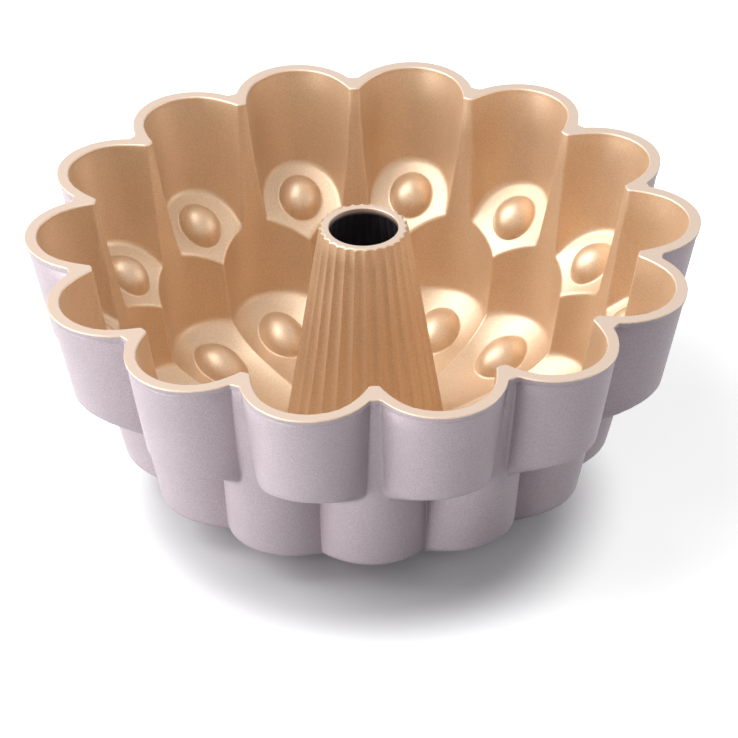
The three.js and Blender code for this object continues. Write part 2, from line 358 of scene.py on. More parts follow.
@dataclass(frozen=True)
class MouldFields:
    """Fields whose zero surfaces are the finished inside and outside of the mould."""

    sizes: Proportions
    blend: Rounding

    def petal(self, x: Array, w: Array, drop: float) -> tuple[Array, Array]:
        """Heights of the steep and the level part of a petal.

        Each part is a trough of circular section along a slope: height at the bend, plus the distance
        from the bend times the slope, plus the rise of the section at w divided by the slope's cosine.

        Args:
            x: Distance along the petal.
            w: Distance across it.
            drop: Depth below the finished surface, square to it.

        Returns:
            Steep and level heights.
        """
        s = self.sizes
        radius = s.petal_section + drop
        rise = s.petal_section - np.sqrt(np.maximum(radius**2 - w * w, 1.0))
        steep, level = (
            s.petal_bend_height + (x - s.petal_bend) * math.tan(slope) + rise / math.cos(slope)
            for slope in (s.petal_steep, s.petal_level)
        )
        return steep, level

    def floor(self, x: Array, w: Array) -> Array:
        """Height of a petal with its bend rounded."""
        steep, level = self.petal(x, w, 0.0)
        return smooth_max(steep, level, self.blend.petal_bend)

    def slope(self, x: Array, drop: float) -> Array:
        """Height of the slope that a ledge lies on, which falls towards the mould's axis.

        It is the height on the upper lobe's axis plus the distance from that axis times the tangent of
        the slope.

        Args:
            x: Distance along the lobe's direction.
            drop: Depth below the slope, square to it.

        Returns:
            Heights.
        """
        s = self.sizes
        on_axis = s.height - s.ledge_depth - drop / math.cos(s.ledge_slope)
        return on_axis + (x - s.upper_axis) * math.tan(s.ledge_slope)

    def ledge(self, x: Array, w: Array, drop: float = 0.0) -> Array:
        """Height of a ledge, dished across: the slope, less a sag, plus w^2 / (2 radius of the dish)."""
        return self.slope(x, drop) - self.sizes.ledge_sag + w * w / (2.0 * self.sizes.ledge_dish)

    def under_ledge(self, x: Array, w: Array, drop: float) -> Array:
        """Height of a ledge's underside: the slope, less a sag, plus a rise with (w / radius)^2."""
        s = self.sizes
        return self.slope(x, drop) - s.under_sag + s.under_rise * (w / s.upper_radius) ** 2

    def lower_lobe(self, angle: Array, r: Array, z: Array) -> Array:
        """Air in one lower lobe: its channel above its petal, joined by a wide fillet.

        Args:
            angle: Angle from the middle of the lobe.
            r: Distance from the mould's axis.
            z: Height.

        Returns:
            Field values, negative inside.
        """
        s = self.sizes
        depth = s.height - z
        x, w = r * np.cos(angle), r * np.sin(angle)
        side = channel(x, w, s.lower_axis - s.lower_lean * depth, s.lower_radius - s.lower_taper * depth)
        return smooth_max(side, (self.floor(x, w) - z) * self.blend.floor_slant, self.blend.wall_foot)

    def flank(self, w: Array, depth: Array) -> Array:
        """How far an upper lobe stands back from a circle, with (w / radius)^2 and less with depth."""
        s = self.sizes
        return s.flank_cut * np.exp(-depth / s.flank_fade) * np.minimum((w / s.upper_radius) ** 2, 1.2)

    def upper_lobe(self, angle: Array, r: Array, z: Array) -> Array:
        """Air in one upper lobe: its channel above its ledge.

        Args:
            angle: Angle from the middle of the lobe.
            r: Distance from the mould's axis.
            z: Height.

        Returns:
            Field values, negative inside.
        """
        s = self.sizes
        depth = s.height - z
        x, w = r * np.cos(angle), r * np.sin(angle)
        radius = s.upper_radius - s.upper_taper * depth - self.flank(w, depth)
        side = channel(x, w, s.upper_axis - s.upper_lean * depth, radius)
        return smooth_max(side, (self.ledge(x, w) - z) * math.cos(s.ledge_slope), self.blend.ledge_root)

    def tube(self, angle: Array, r: Array, z: Array) -> Array:
        """Depth inside the fluted tube.

        The radius grows with depth. Between two ridges, at t from -1 to 1, a flute is 1 - t^2 of its
        depth deep, and the flutes fade out into the floor.

        Args:
            angle: Angle in the half lobe.
            r: Distance from the mould's axis.
            z: Height.

        Returns:
            Field values, positive in the tube.
        """
        s = self.sizes
        depth = s.height - z
        t = 2.0 * np.mod(angle / s.half, 1.0) - 1.0
        groove = s.flute_top + (s.flute_low - s.flute_top) * depth / s.height
        groove = groove * smooth_step(*s.flute_foot, z) * (1.0 - t * t)
        return (s.tube_top_radius + s.tube_taper * depth - groove - r) * math.cos(math.atan(s.tube_taper))

    def thorn(self, angle: Array, r: Array, z: Array) -> Array:
        """Distance outside a blunt wedge at the cusp between two upper lobes.

        At w across the web its front lies slope (sqrt(w^2 + round^2) - round) behind the tip. The tip
        lies behind the web's own cusp, further with depth, and thickens its flanks where the two blend.

        Args:
            angle: Angle from the middle of the lobe.
            r: Distance from the mould's axis.
            z: Height.

        Returns:
            Field values, negative inside.
        """
        s = self.sizes
        depth = s.height - z
        tip = s.lower_apex - (s.lower_lean + s.lower_taper) * depth + s.thorn_back + s.thorn_fade * depth
        back = s.thorn_slope * (np.hypot(r * np.sin(angle), s.thorn_round) - s.thorn_round)
        return (tip + back - r * np.cos(angle)) / math.hypot(1.0, s.thorn_slope)

    def inside(self, angle: Array, r: Array, z: Array) -> Array:
        """Field of the batter room, negative in the air and positive in the metal.

        Lower and upper lobes are joined, then the thorns, the eggs and the tube are taken out.

        Args:
            angle: Angle in the half lobe.
            r: Distance from the mould's axis.
            z: Height.

        Returns:
            Field values.
        """
        s, k = self.sizes, self.blend
        cusp = k.petal_ridge + (k.lower_cusp - k.petal_ridge) * smooth_step(*k.ridge_heights, z)
        lower = smooth_min(self.lower_lobe(angle, r, z), self.lower_lobe(s.pitch - angle, r, z), cusp)
        upper = smooth_min(self.upper_lobe(s.half - angle, r, z), self.upper_lobe(s.half + angle, r, z), k.rim_cusp)
        room = smooth_max(smooth_min(lower, upper, k.ledge_lip), -self.thorn(angle, r, z), k.thorn_root)
        for egg, turn in ((s.upper_egg, s.half - angle), (s.lower_egg, angle)):
            dome = egg.distance(r * np.cos(turn), r * np.sin(turn), z)
            room = smooth_max(room, -dome, k.egg_root)
        return smooth_max(room, self.tube(angle, r, z), k.tube_root)

    def outer_lobe(self, angle: Array, r: Array, z: Array) -> Array:
        """Metal and air inside the outer wall of one upper lobe, above the underside of its ledge.

        Args:
            angle: Angle from the middle of the lobe.
            r: Distance from the mould's axis.
            z: Height.

        Returns:
            Field values, negative inside.
        """
        s, k = self.sizes, self.blend
        depth = s.height - z
        x, w = r * np.cos(angle), r * np.sin(angle)
        radius = s.upper_radius + s.wall - s.upper_taper * depth - self.lip(depth) - self.flank(w, depth)
        side = channel(x, w, s.upper_axis - s.upper_lean * depth, radius)
        corner = smooth_step(k.corner_from, 1.0, np.abs(w) / radius)
        edge = k.outer_edge + (k.outer_corner - k.outer_edge) * corner
        return smooth_max(side, (self.under_ledge(x, w, s.ledge_wall) - z) * math.cos(s.ledge_slope), edge)

    def shell_lobe(self, angle: Array, r: Array, z: Array) -> Array:
        """The same inside the outer wall of one lower lobe, above the bowl of the underside.

        Args:
            angle: Angle from the middle of the lobe.
            r: Distance from the mould's axis.
            z: Height.

        Returns:
            Field values, negative inside.
        """
        s, k = self.sizes, self.blend
        depth = s.height - z
        x, w = r * np.cos(angle), r * np.sin(angle)
        drawn_in = s.web_cut * np.exp(-depth / s.flank_fade)
        radius = s.shell_radius - s.shell_taper * depth - self.lip(depth) - drawn_in
        side = channel(x, w, s.shell_axis - s.shell_lean * depth, radius)
        steep, _ = self.petal(x, w, s.floor_wall)
        cone = np.maximum(r - s.stand_diameter / 2.0, s.stand_step) * s.stand_cone + s.stand_lift
        bowl = smooth_max(steep, cone, k.bowl)
        return smooth_max(side, (bowl - z) * k.bowl_slant, k.outer_bottom)

    def lip(self, depth: Array) -> Array:
        """How far the outer wall stands back under the rim's lip: a step with a shallow groove below it.

        The step is a smooth ramp over the lip's edge, and the groove falls off as exp(-t^2) on both sides.

        Args:
            depth: Depth below the rim.

        Returns:
            Setback of the wall.
        """
        k = self.blend
        groove = np.exp(-(((depth - k.lip_height - k.groove_drop) / k.groove_width) ** 2))
        step = smooth_step(k.lip_height - k.lip_edge, k.lip_height + k.lip_edge, depth)
        return k.lip_step * step + k.lip_groove * groove

    def outside(self, angle: Array, r: Array, z: Array) -> Array:
        """Field of the whole mould as if filled: its outer lobes joined.

        Args:
            angle: Angle in the half lobe.
            r: Distance from the mould's axis.
            z: Height.

        Returns:
            Field values, negative inside.
        """
        s = self.sizes
        notch = self.blend.outer_notch
        upper = smooth_min(self.outer_lobe(s.half - angle, r, z), self.outer_lobe(s.half + angle, r, z), notch)
        lower = smooth_min(self.shell_lobe(angle, r, z), self.shell_lobe(s.pitch - angle, r, z), notch)
        return smooth_min(upper, lower, notch)


@dataclass(frozen=True)
class Ray:
    """Places guide points on a zero surface by moving them along rays from a ring round the mould's axis."""

    surface: Field
    level: float
    from_r: float
    from_z: float
    search: float = 7.0  # how far before and behind a guide point the surface is looked for
    step: float = 0.03  # for differences of the field

    def land(self, guide: Array) -> Array:
        """Point on each ray where the field has the level.

        A point is the start of its ray plus t times the way to its guide point, all in its own plane
        through the mould's axis, with t found in a short stretch on both sides of the guide point.

        Args:
            guide: Guide points as angle, distance and height in the last axis.

        Returns:
            Points of the surface in the same form.
        """
        angle, r, z = guide[..., 0], guide[..., 1], guide[..., 2]
        run, fall = r - self.from_r, z - self.from_z
        reach = self.search / np.hypot(run, fall)

        def rising(t: Array) -> Array:
            """Field above its level at a share t of the way to the guide point."""
            return self.surface(angle, self.from_r + t * run, self.from_z + t * fall) - self.level

        t = bisect(rising, 1.0 - reach, 1.0 + reach)
        return np.stack([angle, self.from_r + t * run, self.from_z + t * fall], axis=-1)

    def normal(self, points: Array) -> Array:
        """Unit gradient of the field by central differences.

        Args:
            points: Points as angle, distance and height in the last axis.

        Returns:
            Gradients as x, y and z in the half lobe.
        """
        angle, r, z = points[..., 0], points[..., 1], points[..., 2]
        x, y = r * np.cos(angle), r * np.sin(angle)
        step = self.step

        def value(dx: float, dy: float, dz: float) -> Array:
            """Field at a small distance from the points."""
            return self.surface(np.arctan2(y + dy, x + dx), np.hypot(x + dx, y + dy), z + dz)

        slope = np.stack(
            [
                value(step, 0, 0) - value(-step, 0, 0),
                value(0, step, 0) - value(0, -step, 0),
                value(0, 0, step) - value(0, 0, -step),
            ],
            axis=-1,
        )
        return slope / (np.linalg.norm(slope, axis=-1, keepdims=True) + NOT_ZERO)


@dataclass(frozen=True)
class LobedGuide:
    """Sharp-edged lobed wall that the columns and rows of a smooth surface follow."""

    sizes: Proportions
    upper_radius: float
    axis: float
    radius: float
    taper: float
    lean: float
    ledge: Callable[[Array, Array], Array]
    blunt: float = 0.0

    @staticmethod
    def far_wall(angle: Array, axis: Array, radius: Array) -> Array:
        """Distance of a round wall seen from the mould's axis.

        It is axis cos(angle) + sqrt(radius^2 - (axis sin(angle))^2), the farther crossing of a ray with a
        circle.

        Args:
            angle: Angle from the lobe's middle.
            axis: Distance of the lobe's axis.
            radius: Radius of the lobe.

        Returns:
            Distances from the mould's axis.
        """
        across = axis * np.sin(angle)
        return axis * np.cos(angle) + np.sqrt(np.maximum(radius**2 - across**2, 0.0))

    def upper_section(self, depth: Array) -> tuple[Array, Array]:
        """Distance of an upper lobe's axis from the mould's axis, and the lobe's radius, at a depth."""
        s = self.sizes
        return s.upper_axis - s.upper_lean * depth, self.upper_radius - s.upper_taper * depth

    def lower(self, angle: Array, depth: Array) -> Array:
        """Distance of the lower lobe's wall."""
        return self.far_wall(angle, self.axis - self.lean * depth, self.radius - self.taper * depth)

    def upper(self, angle: Array, depth: Array) -> Array:
        """Distance of the upper lobe's wall."""
        return self.far_wall(self.sizes.half - angle, *self.upper_section(depth))

    def seam(self, depth: Array) -> Array:
        """Angle at which the upper lobe's wall meets the lower lobe's, at least half the width of a thorn.

        Args:
            depth: Depths below the rim.

        Returns:
            Angles in the half lobe.
        """
        s = self.sizes
        axis, radius = self.upper_section(depth)

        def rising(angle: Array) -> Array:
            """How far the upper lobe's wall lies outside the lower lobe's, or -1 beside the upper lobe."""
            beside = axis * np.sin(s.half - angle) > radius
            return np.where(beside, -1.0, self.upper(angle, depth) - self.lower(angle, depth))

        seam = bisect(rising, np.zeros_like(depth), np.full_like(depth, s.half))
        return np.maximum(seam, self.blunt / axis)

    def turn(self, depth: Array) -> Array:
        """Angle round the upper lobe's own axis from its tip to the seam.

        Args:
            depth: Depths below the rim.

        Returns:
            Turns about the lobe's axis.
        """
        s = self.sizes
        angle = self.seam(depth)
        r = self.upper(angle, depth)
        x = r * np.cos(s.half - angle) - s.upper_axis + s.upper_lean * depth
        return np.arctan2(r * np.sin(s.half - angle), x)

    def upper_point(self, turn: Array, depth: Array) -> Array:
        """Point of the upper lobe's wall.

        It lies at axis + radius cos(turn) along the lobe's direction and radius sin(turn) across it.

        Args:
            turn: Turns about the lobe's own axis.
            depth: Depths below the rim.

        Returns:
            Points as angle, distance and height.
        """
        s = self.sizes
        axis, radius = self.upper_section(depth)
        x = axis + radius * np.cos(turn)
        w = radius * np.sin(turn)
        return np.stack([s.half - np.arctan2(w, x), np.hypot(x, w), s.height - depth], axis=-1)

    def lower_point(self, angle: Array, depth: Array) -> Array:
        """Point of the lower lobe's wall."""
        angle, depth = np.broadcast_arrays(angle, depth)
        return np.stack([angle, self.lower(angle, depth), self.sizes.height - depth], axis=-1)

    def ledge_depth(self, angle: Array, depth: Array) -> Array:
        """Depth of the ledge where the lower lobe's wall is.

        Args:
            angle: Angles in the half lobe.
            depth: Depths at which the wall is taken.

        Returns:
            Depths below the rim.
        """
        s = self.sizes
        r = self.lower(angle, depth)
        return s.height - self.ledge(r * np.cos(s.half - angle), r * np.sin(s.half - angle))

    @property
    def corner(self) -> Array:
        """Depth at which seam and ledge meet."""
        zero = np.zeros(1)
        return bisect(lambda depth: depth - self.ledge_depth(self.seam(depth), depth), zero, zero + self.sizes.height)

    def ledge_outer(self, turn: Array) -> Array:
        """Depth of the ledge's outer edge.

        Args:
            turn: Turns about the upper lobe's axis.

        Returns:
            Depths below the rim.
        """
        height = self.sizes.height

        def rising(depth: Array) -> Array:
            """How far the ledge lies above the wall's point at a depth."""
            axis, radius = self.upper_section(depth)
            return self.ledge(axis + radius * np.cos(turn), radius * np.sin(turn)) - (height - depth)

        zero = np.zeros_like(turn)
        return bisect(rising, zero, zero + height)

    def ledge_inner(self, angle: Array) -> Array:
        """Depth of the ledge's inner edge on the lower lobe's wall."""
        zero = np.zeros_like(angle)
        return bisect(lambda depth: depth - self.ledge_depth(angle, depth), zero, zero + self.sizes.height)

    def wall_foot(self, angle: Array, steep: Callable[[Array, Array], Array]) -> Array:
        """Depth at which the lower lobe's wall meets the steep part of its petal.

        Args:
            angle: Angles in the half lobe.
            steep: Height of the steep part at x along the petal and w across it.

        Returns:
            Depths below the rim.
        """
        height, below_stand = self.sizes.height, 20.0

        def rising(depth: Array) -> Array:
            """How far the petal lies above the wall's point at a depth."""
            r = self.lower(angle, depth)
            return steep(r * np.cos(angle), r * np.sin(angle)) - (height - depth)

        zero = np.zeros_like(angle)
        return bisect(rising, zero, zero + height + below_stand)


@dataclass(frozen=True)
class Fineness:
    """Numbers of columns and rows of the smooth surfaces on half a lobe.

    A gather above 1 draws columns or rows together at an end.
    """

    web: int = 5
    lobe: int = 12
    wall_rows: int = 9
    lower_rows: int = 6
    dome_rows: int = 7
    apron_rows: int = 4
    ridge_rows: int = 9
    flute: int = 8
    tube_rows: int = 8
    foot_rows: int = 9
    hollow_rows: int = 10
    edge_rows: int = 4
    web_gather: float = 1.6
    lobe_gather: float = 1.75
    wall_gather: float = 1.5
    outer_gather: float = 1.35
    dome_gather: float = 1.25
    ridge_gather: float = 1.3
    flute_gather: float = 1.4


def both_ends(count: int, power: float) -> Array:
    """Fractions from 0 to 1, closer together at both ends."""
    t = np.linspace(-1.0, 1.0, count + 1)
    return 0.5 + 0.5 * np.sign(t) * (1.0 - (1.0 - np.abs(t)) ** power)


def far_end(count: int, power: float) -> Array:
    """Fractions from 0 to 1, closer together at 1."""
    return 1.0 - (1.0 - np.linspace(0.0, 1.0, count + 1)) ** power


class Skin:
    """Patches of one surface on half a lobe, which become a ring of triangles with exact normals."""

    def __init__(self, sizes: Proportions) -> None:
        """Starts with no patches.

        Args:
            sizes: Sizes that give the number of lobes and their pitch.
        """
        self.sizes = sizes
        self.points: list[Array] = []
        self.normals: list[Array] = []
        self.marks: list[Array] = []
        self.faces: list[NDArray[np.int64]] = []
        self.count = 0

    def add(self, points: Array, normals: Array, mark: float | Array = 0.0) -> None:
        """Adds a grid of points.

        Args:
            points: Rows by columns of angle, distance and height.
            normals: Outward normals in the half lobe's x, y and z.
            mark: Value of the edge attribute, one for all points or one for each.
        """
        rows, columns = points.shape[:2]
        index = np.arange(rows * columns).reshape(rows, columns)
        a, b, c, d = index[:-1, :-1], index[:-1, 1:], index[1:, 1:], index[1:, :-1]
        faces = np.stack([a, b, c, a, c, d], axis=-1).reshape(-1, 3)
        marks = np.broadcast_to(np.asarray(mark, float), (rows, columns)).reshape(-1)
        self.keep(points.reshape(-1, 3), normals.reshape(-1, 3), marks, faces)

    def zip(self, first: Array, second: Array, normal: tuple[float, float, float]) -> None:
        """Adds a strip between two rows with different numbers of points but the same two end angles.

        Each step along one row makes a triangle with the point that the other row has reached at that
        angle.

        Args:
            first: Points of one row as angle, distance and height.
            second: Points of the other row.
            normal: Outward normal of the strip.
        """
        a, b, count = first[:, 0], second[:, 0], len(first)
        i, j = np.arange(len(a) - 1), np.arange(len(b) - 1)
        met_b = np.searchsorted(b[1:-1], a[1:], side="left")
        met_a = np.searchsorted(a[1:-1], b[1:], side="right")
        met_a[-1] = len(a) - 1
        steps_a = np.stack([i, i + 1, met_b + count], axis=-1)
        steps_b = np.stack([j + count + 1, j + count, met_a], axis=-1)
        points = np.concatenate([first, second])
        normals = np.tile(normal, (len(points), 1))
        self.keep(points, normals, np.zeros(len(points)), np.concatenate([steps_a, steps_b]))

    def keep(self, points: Array, normals: Array, marks: Array, faces: NDArray[np.int64]) -> None:
        """Stores a patch with its triangles turned to agree with its normals.

        Args:
            points: Points as angle, distance and height.
            normals: Outward normals.
            marks: Values of the edge attribute.
            faces: Triangles, all turned the same way.
        """
        angle, r, z = points[:, 0], points[:, 1], points[:, 2]
        place = np.stack([r * np.cos(angle), r * np.sin(angle), z], axis=-1)
        corners = place[faces]
        facing = np.cross(corners[:, 1] - corners[:, 0], corners[:, 2] - corners[:, 0])
        if np.einsum("ij,ij->", facing, normals[faces].mean(axis=1)) < 0.0:
            faces = faces[:, ::-1]
        self.points.append(place)
        self.normals.append(normals)
        self.marks.append(marks)
        self.faces.append(faces + self.count)
        self.count += len(points)

    def spun(self, vectors: list[Array]) -> Array:
        """Copies of points or normals for all lobes, each lobe as the half and its mirror image.

        A point at an angle goes to front + k pitch + angle and to front + k pitch - angle for each lobe k.

        Args:
            vectors: Points or normals of the patches.

        Returns:
            All copies, lobe after lobe.
        """
        half = np.concatenate(vectors)
        sector = np.stack([half, half * np.array([1.0, -1.0, 1.0])])
        turns = -math.pi / 2.0 + np.arange(self.sizes.lobes) * self.sizes.pitch
        cos, sin, zero, one = np.cos(turns), np.sin(turns), np.zeros_like(turns), np.ones_like(turns)
        spin = np.stack([cos, -sin, zero, sin, cos, zero, zero, zero, one], axis=-1).reshape(-1, 3, 3)
        return np.einsum("kij,snj->ksni", spin, sector).reshape(-1, 3)

    def ring(self, under: "Skin") -> tuple[Array, Array, Array, Array, NDArray[np.int64]]:
        """Whole ring with equal points joined, and with it a second skin that has the same patches.

        Triangles of mirrored copies are turned back, and triangles that lost a corner are dropped.

        Args:
            under: Skin whose points go along with the points of this one.

        Returns:
            Points, points of the other skin, normals, marks and triangles of the whole ring.
        """
        points, normals, below = self.spun(self.points), self.spun(self.normals), self.spun(under.points)
        half = np.concatenate(self.faces)
        pair = np.stack([half, half[:, ::-1] + self.count])
        copies = np.arange(self.sizes.lobes)[:, None, None, None] * (2 * self.count)
        faces = (pair[None] + copies).reshape(-1, 3)
        per_millimetre = 1e4
        cells = np.round(points * per_millimetre).astype(np.int64)
        _, first, same = np.unique(cells, axis=0, return_index=True, return_inverse=True)
        same = same.reshape(-1)
        faces = same[faces]
        whole = (faces[:, 0] != faces[:, 1]) & (faces[:, 1] != faces[:, 2]) & (faces[:, 2] != faces[:, 0])
        summed = np.zeros((len(first), 3))
        np.add.at(summed, same, normals)
        summed /= np.linalg.norm(summed, axis=1, keepdims=True) + NOT_ZERO
        marks = np.tile(np.concatenate(self.marks), 2 * self.sizes.lobes)
        return points[first], below[first], summed, marks[first], faces[whole]


def border(faces: NDArray[np.int64]) -> NDArray[np.int64]:
    """Directed edges that belong to one triangle only.

    Args:
        faces: Triangles.

    Returns:
        Pairs of point numbers.
    """
    edges = np.concatenate([faces[:, [0, 1]], faces[:, [1, 2]], faces[:, [2, 0]]])
    _, at, count = np.unique(np.sort(edges, axis=1), axis=0, return_index=True, return_counts=True)
    return edges[at[count == 1]]


def closed_film(
    points: Array, below: Array, normals: Array, faces: NDArray[np.int64]
) -> tuple[Array, NDArray[np.int64], Array]:
    """Thin closed film between a surface and a second one below it, with a strip along every border edge.

    Args:
        points: Points of the front.
        below: Points of the back, one for each of the front.
        normals: Normals of the front.
        faces: Triangles of the front.

    Returns:
        Points, triangles and a normal for each triangle corner.
    """
    count = len(points)
    edge = border(faces)
    a, b = edge[:, 1], edge[:, 0]
    strip = np.concatenate([np.stack([a, b, b + count], axis=1), np.stack([a, b + count, a + count], axis=1)])
    whole = np.concatenate([points, below])
    corners = whole[strip]
    flat = np.cross(corners[:, 1] - corners[:, 0], corners[:, 2] - corners[:, 0])
    flat /= np.linalg.norm(flat, axis=1, keepdims=True) + NOT_ZERO
    shade = np.concatenate(
        [normals[faces].reshape(-1, 3), -normals[faces[:, ::-1]].reshape(-1, 3), np.repeat(flat, 3, axis=0)]
    )
    return whole, np.concatenate([faces, faces[:, ::-1] + count, strip]), shade


def mesh_piece(name: str, points: Array, faces: NDArray[np.int64], shade: Array, marks: Array) -> bpy.types.Object:
    """Object of a triangle mesh with its own corner normals and an edge attribute.

    Args:
        name: Name of the piece.
        points: Points in millimetres.
        faces: Triangles.
        shade: Normal of each triangle corner.
        marks: Value of the edge attribute at each point.

    Returns:
        The object, linked to the scene.
    """
    mesh = bpy.data.meshes.new(name)
    mesh.vertices.add(len(points))
    mesh.vertices.foreach_set("co", (points * MILLIMETRE).astype(np.float32).ravel())
    mesh.loops.add(faces.size)
    mesh.loops.foreach_set("vertex_index", faces.astype(np.int32).ravel())
    mesh.polygons.add(len(faces))
    mesh.polygons.foreach_set("loop_start", np.arange(0, faces.size, 3, dtype=np.int32))
    mesh.update(calc_edges=True)
    mesh.validate()
    mesh.polygons.foreach_set("use_smooth", np.ones(len(mesh.polygons), dtype=bool))
    edge = mesh.attributes.new("edge", "FLOAT", "POINT")
    edge.data.foreach_set("value", marks.astype(np.float32))
    if len(mesh.loops) == len(shade):
        mesh.normals_split_custom_set(shade.astype(np.float32))
    piece = bpy.data.objects.new(name, mesh)
    bpy.context.scene.collection.objects.link(piece)
    return piece


@dataclass(frozen=True)
class LobedSurface:
    """One side of the mould at one depth below the finish, with columns that follow its lobes."""

    sizes: Proportions
    fields: MouldFields
    fine: Fineness
    level: float

    @property
    def guide(self) -> LobedGuide:
        """Sharp wall of this side."""
        raise NotImplementedError

    def columns(self) -> tuple[Array, Array]:
        """Fractions across the web between two upper lobes and from the seam to the upper lobe's tip."""
        fine = self.fine
        return far_end(fine.web, fine.web_gather), both_ends(fine.lobe, fine.lobe_gather)

    def lower_angles(self) -> Array:
        """Angles of the columns below the ledge.

        Returns:
            Angles in the half lobe, across the web and then across the ledge.
        """
        guide = self.guide
        web, lobe = self.columns()
        corner = guide.seam(guide.corner)[0]
        return np.concatenate([web * corner, (corner + (self.sizes.half - corner) * lobe)[1:]])

    def lip_depths(self) -> Array:
        """Depth of the lower wall's upper edge at each column.

        Returns:
            Depths below the rim: the seam's lower end across the web, then the ledge's inner edge.
        """
        depth = self.guide.ledge_inner(self.lower_angles())
        depth[: self.fine.web + 1] = self.guide.corner[0]
        return depth

    def wall_below(self, top: Array, steep: Callable[[Array, Array], Array], rows: Array) -> Array:
        """Guide of the lower wall, with rows at shares of the way from its upper edge to its foot.

        Args:
            top: Depth of the upper edge at each column.
            steep: Height of the ground that the wall's foot stands on.
            rows: Shares from 0 to 1.

        Returns:
            Rows by columns of angle, distance and height.
        """
        guide, angles = self.guide, self.lower_angles()
        foot = guide.wall_foot(angles, steep)
        depth = top[None, :] + rows[:, None] * (foot - top)[None, :]
        return guide.lower_point(np.broadcast_to(angles, depth.shape), depth)


@dataclass(frozen=True)
class InsideSurface(LobedSurface):
    """Inside of the mould from the mouth of the bore to the inner edge of the rim."""

    ring_radius: float = 56.0  # ring above the middle of the batter room, from which its walls are seen
    ring_rise: float = 10.0
    thorn_share: float = 1.25  # half width of the columns at a cusp, in roundings of its wedge
    floor_middle: float = 46.0  # distance at which the tube's foot takes the floor's height

    @property
    def ray(self) -> Ray:
        """Rays from a ring above the middle of the batter room, which sees all of its walls."""
        return Ray(self.fields.inside, self.level, self.ring_radius, self.sizes.height + self.ring_rise)

    @property
    def guide(self) -> LobedGuide:
        """Sharp inside wall.

        Returns:
            The guide.
        """
        s = self.sizes
        return LobedGuide(
            s, s.upper_radius + self.level, s.lower_axis, s.lower_radius + self.level, s.lower_taper, s.lower_lean,
            self.ledge_ground, s.thorn_round * self.thorn_share,
        )

    def ledge_ground(self, x: Array, w: Array) -> Array:
        """Height of a ledge at this depth below the finish."""
        return self.fields.ledge(x, w, self.level)

    @property
    def top(self) -> float:
        """Height of the rim at this depth below the finish."""
        return self.sizes.height - self.level

    def upper_wall(self, start: float) -> Array:
        """Guide of the wall from a depth below the rim down to the ledge.

        The web's columns run at fractions of the seam's angle and the lobe's at fractions of the turn
        from the seam to the tip, both worked out afresh at every depth.

        Args:
            start: Depth of the first row.

        Returns:
            Rows by columns of angle, distance and height.
        """
        guide = self.guide
        web, lobe = self.columns()
        rows = both_ends(self.fine.wall_rows, self.fine.wall_gather)[:, None]
        corner = guide.corner
        depth = start + rows * (corner - start)
        left = guide.lower_point(web[None, :] * guide.seam(depth), np.broadcast_to(depth, (len(rows), len(web))))
        edge = guide.ledge_outer(guide.turn(corner) * (1.0 - lobe))
        depth = start + rows * (edge[None, :] - start)
        right = guide.upper_point(guide.turn(depth) * (1.0 - lobe[None, :]), depth)
        return np.concatenate([left, right[:, 1:]], axis=1)

    def ledge_lip(self) -> Array:
        """Guide of the upper edge of the lower wall."""
        return self.guide.lower_point(self.lower_angles(), self.lip_depths())

    def steep(self, x: Array, w: Array) -> Array:
        """Height of the steep part of a petal at this depth below the finish."""
        return self.fields.petal(x, w, self.level)[0]

    def lower_wall(self) -> Array:
        """Guide of the lower wall from the ledge's lip to its foot on the petal.

        Returns:
            Rows by columns of angle, distance and height, with close rows at both ends.
        """
        top = self.sizes.height - self.ledge_lip()[:, 2]
        middle = np.linspace(0.12, 0.78, self.fine.lower_rows)
        return self.wall_below(top, self.steep, np.array([0.0, 0.02, 0.05, *middle, 0.84, 0.89, 0.945, 1.0]))

    def dome_and_apron(self, egg: Egg, toward: float, loop: Array, ground: Callable[[Array, Array], Array]) -> Array:
        """Guide of an egg and of the ground round it, as rings from the egg's top to a border.

        Rings of the egg lie at equal steps of latitude down to its root, which is where the ellipsoid
        meets the ground. Rings of the apron lie at shares of straight lines in plan from the root to the
        border, close together at both ends and even between them.

        Args:
            egg: The egg.
            toward: Direction of the egg in the half lobe, an angle.
            loop: Border points as angle, distance and height, from the egg's outer end to its inner end.
            ground: Height of the ground at x along the egg's direction and w across it.

        Returns:
            Rings by border points of angle, distance and height.
        """
        side = np.sign(self.sizes.half / 2.0 - toward)
        away = (loop[:, 0] - toward) * side
        x, w = loop[:, 1] * np.cos(away), loop[:, 1] * np.sin(away)
        a, b, _ = egg.axes
        turn = np.arctan2(w * a * math.cos(egg.tilt), (x - egg.x) * b)
        turn[0], turn[-1] = 0.0, math.pi

        def sinking(latitude: Array) -> Array:
            """How far the ground lies above the egg's point at a latitude."""
            px, pw, pz = egg.point(turn, latitude)
            return ground(px, pw) - pz

        highest, lowest = 0.3, 1.75
        root = bisect(sinking, np.full_like(turn, highest), np.full_like(turn, lowest))
        steps = far_end(self.fine.dome_rows, self.fine.dome_gather)[:, None]
        dome = np.stack(egg.point(turn[None, :], steps * root[None, :]), axis=-1)
        base = dome[-1]
        near, far = np.array([0.012, 0.06, 0.14]), np.array([0.86, 0.94, 0.985, 1.0])
        between = np.linspace(near[-1], far[0], self.fine.apron_rows + 2)[1:-1]
        share = np.concatenate([near, between, far])[:, None]
        px = base[None, :, 0] + share * (x - base[:, 0])[None, :]
        pw = base[None, :, 1] + share * (w - base[:, 1])[None, :]
        apron = np.stack([px, pw, ground(px, pw)], axis=-1)
        apron[-1, :, 2] = loop[:, 2]
        grid = np.concatenate([dome, apron])
        angle = toward + side * np.arctan2(grid[..., 1], grid[..., 0])
        return np.stack([angle, np.hypot(grid[..., 0], grid[..., 1]), grid[..., 2]], axis=-1)

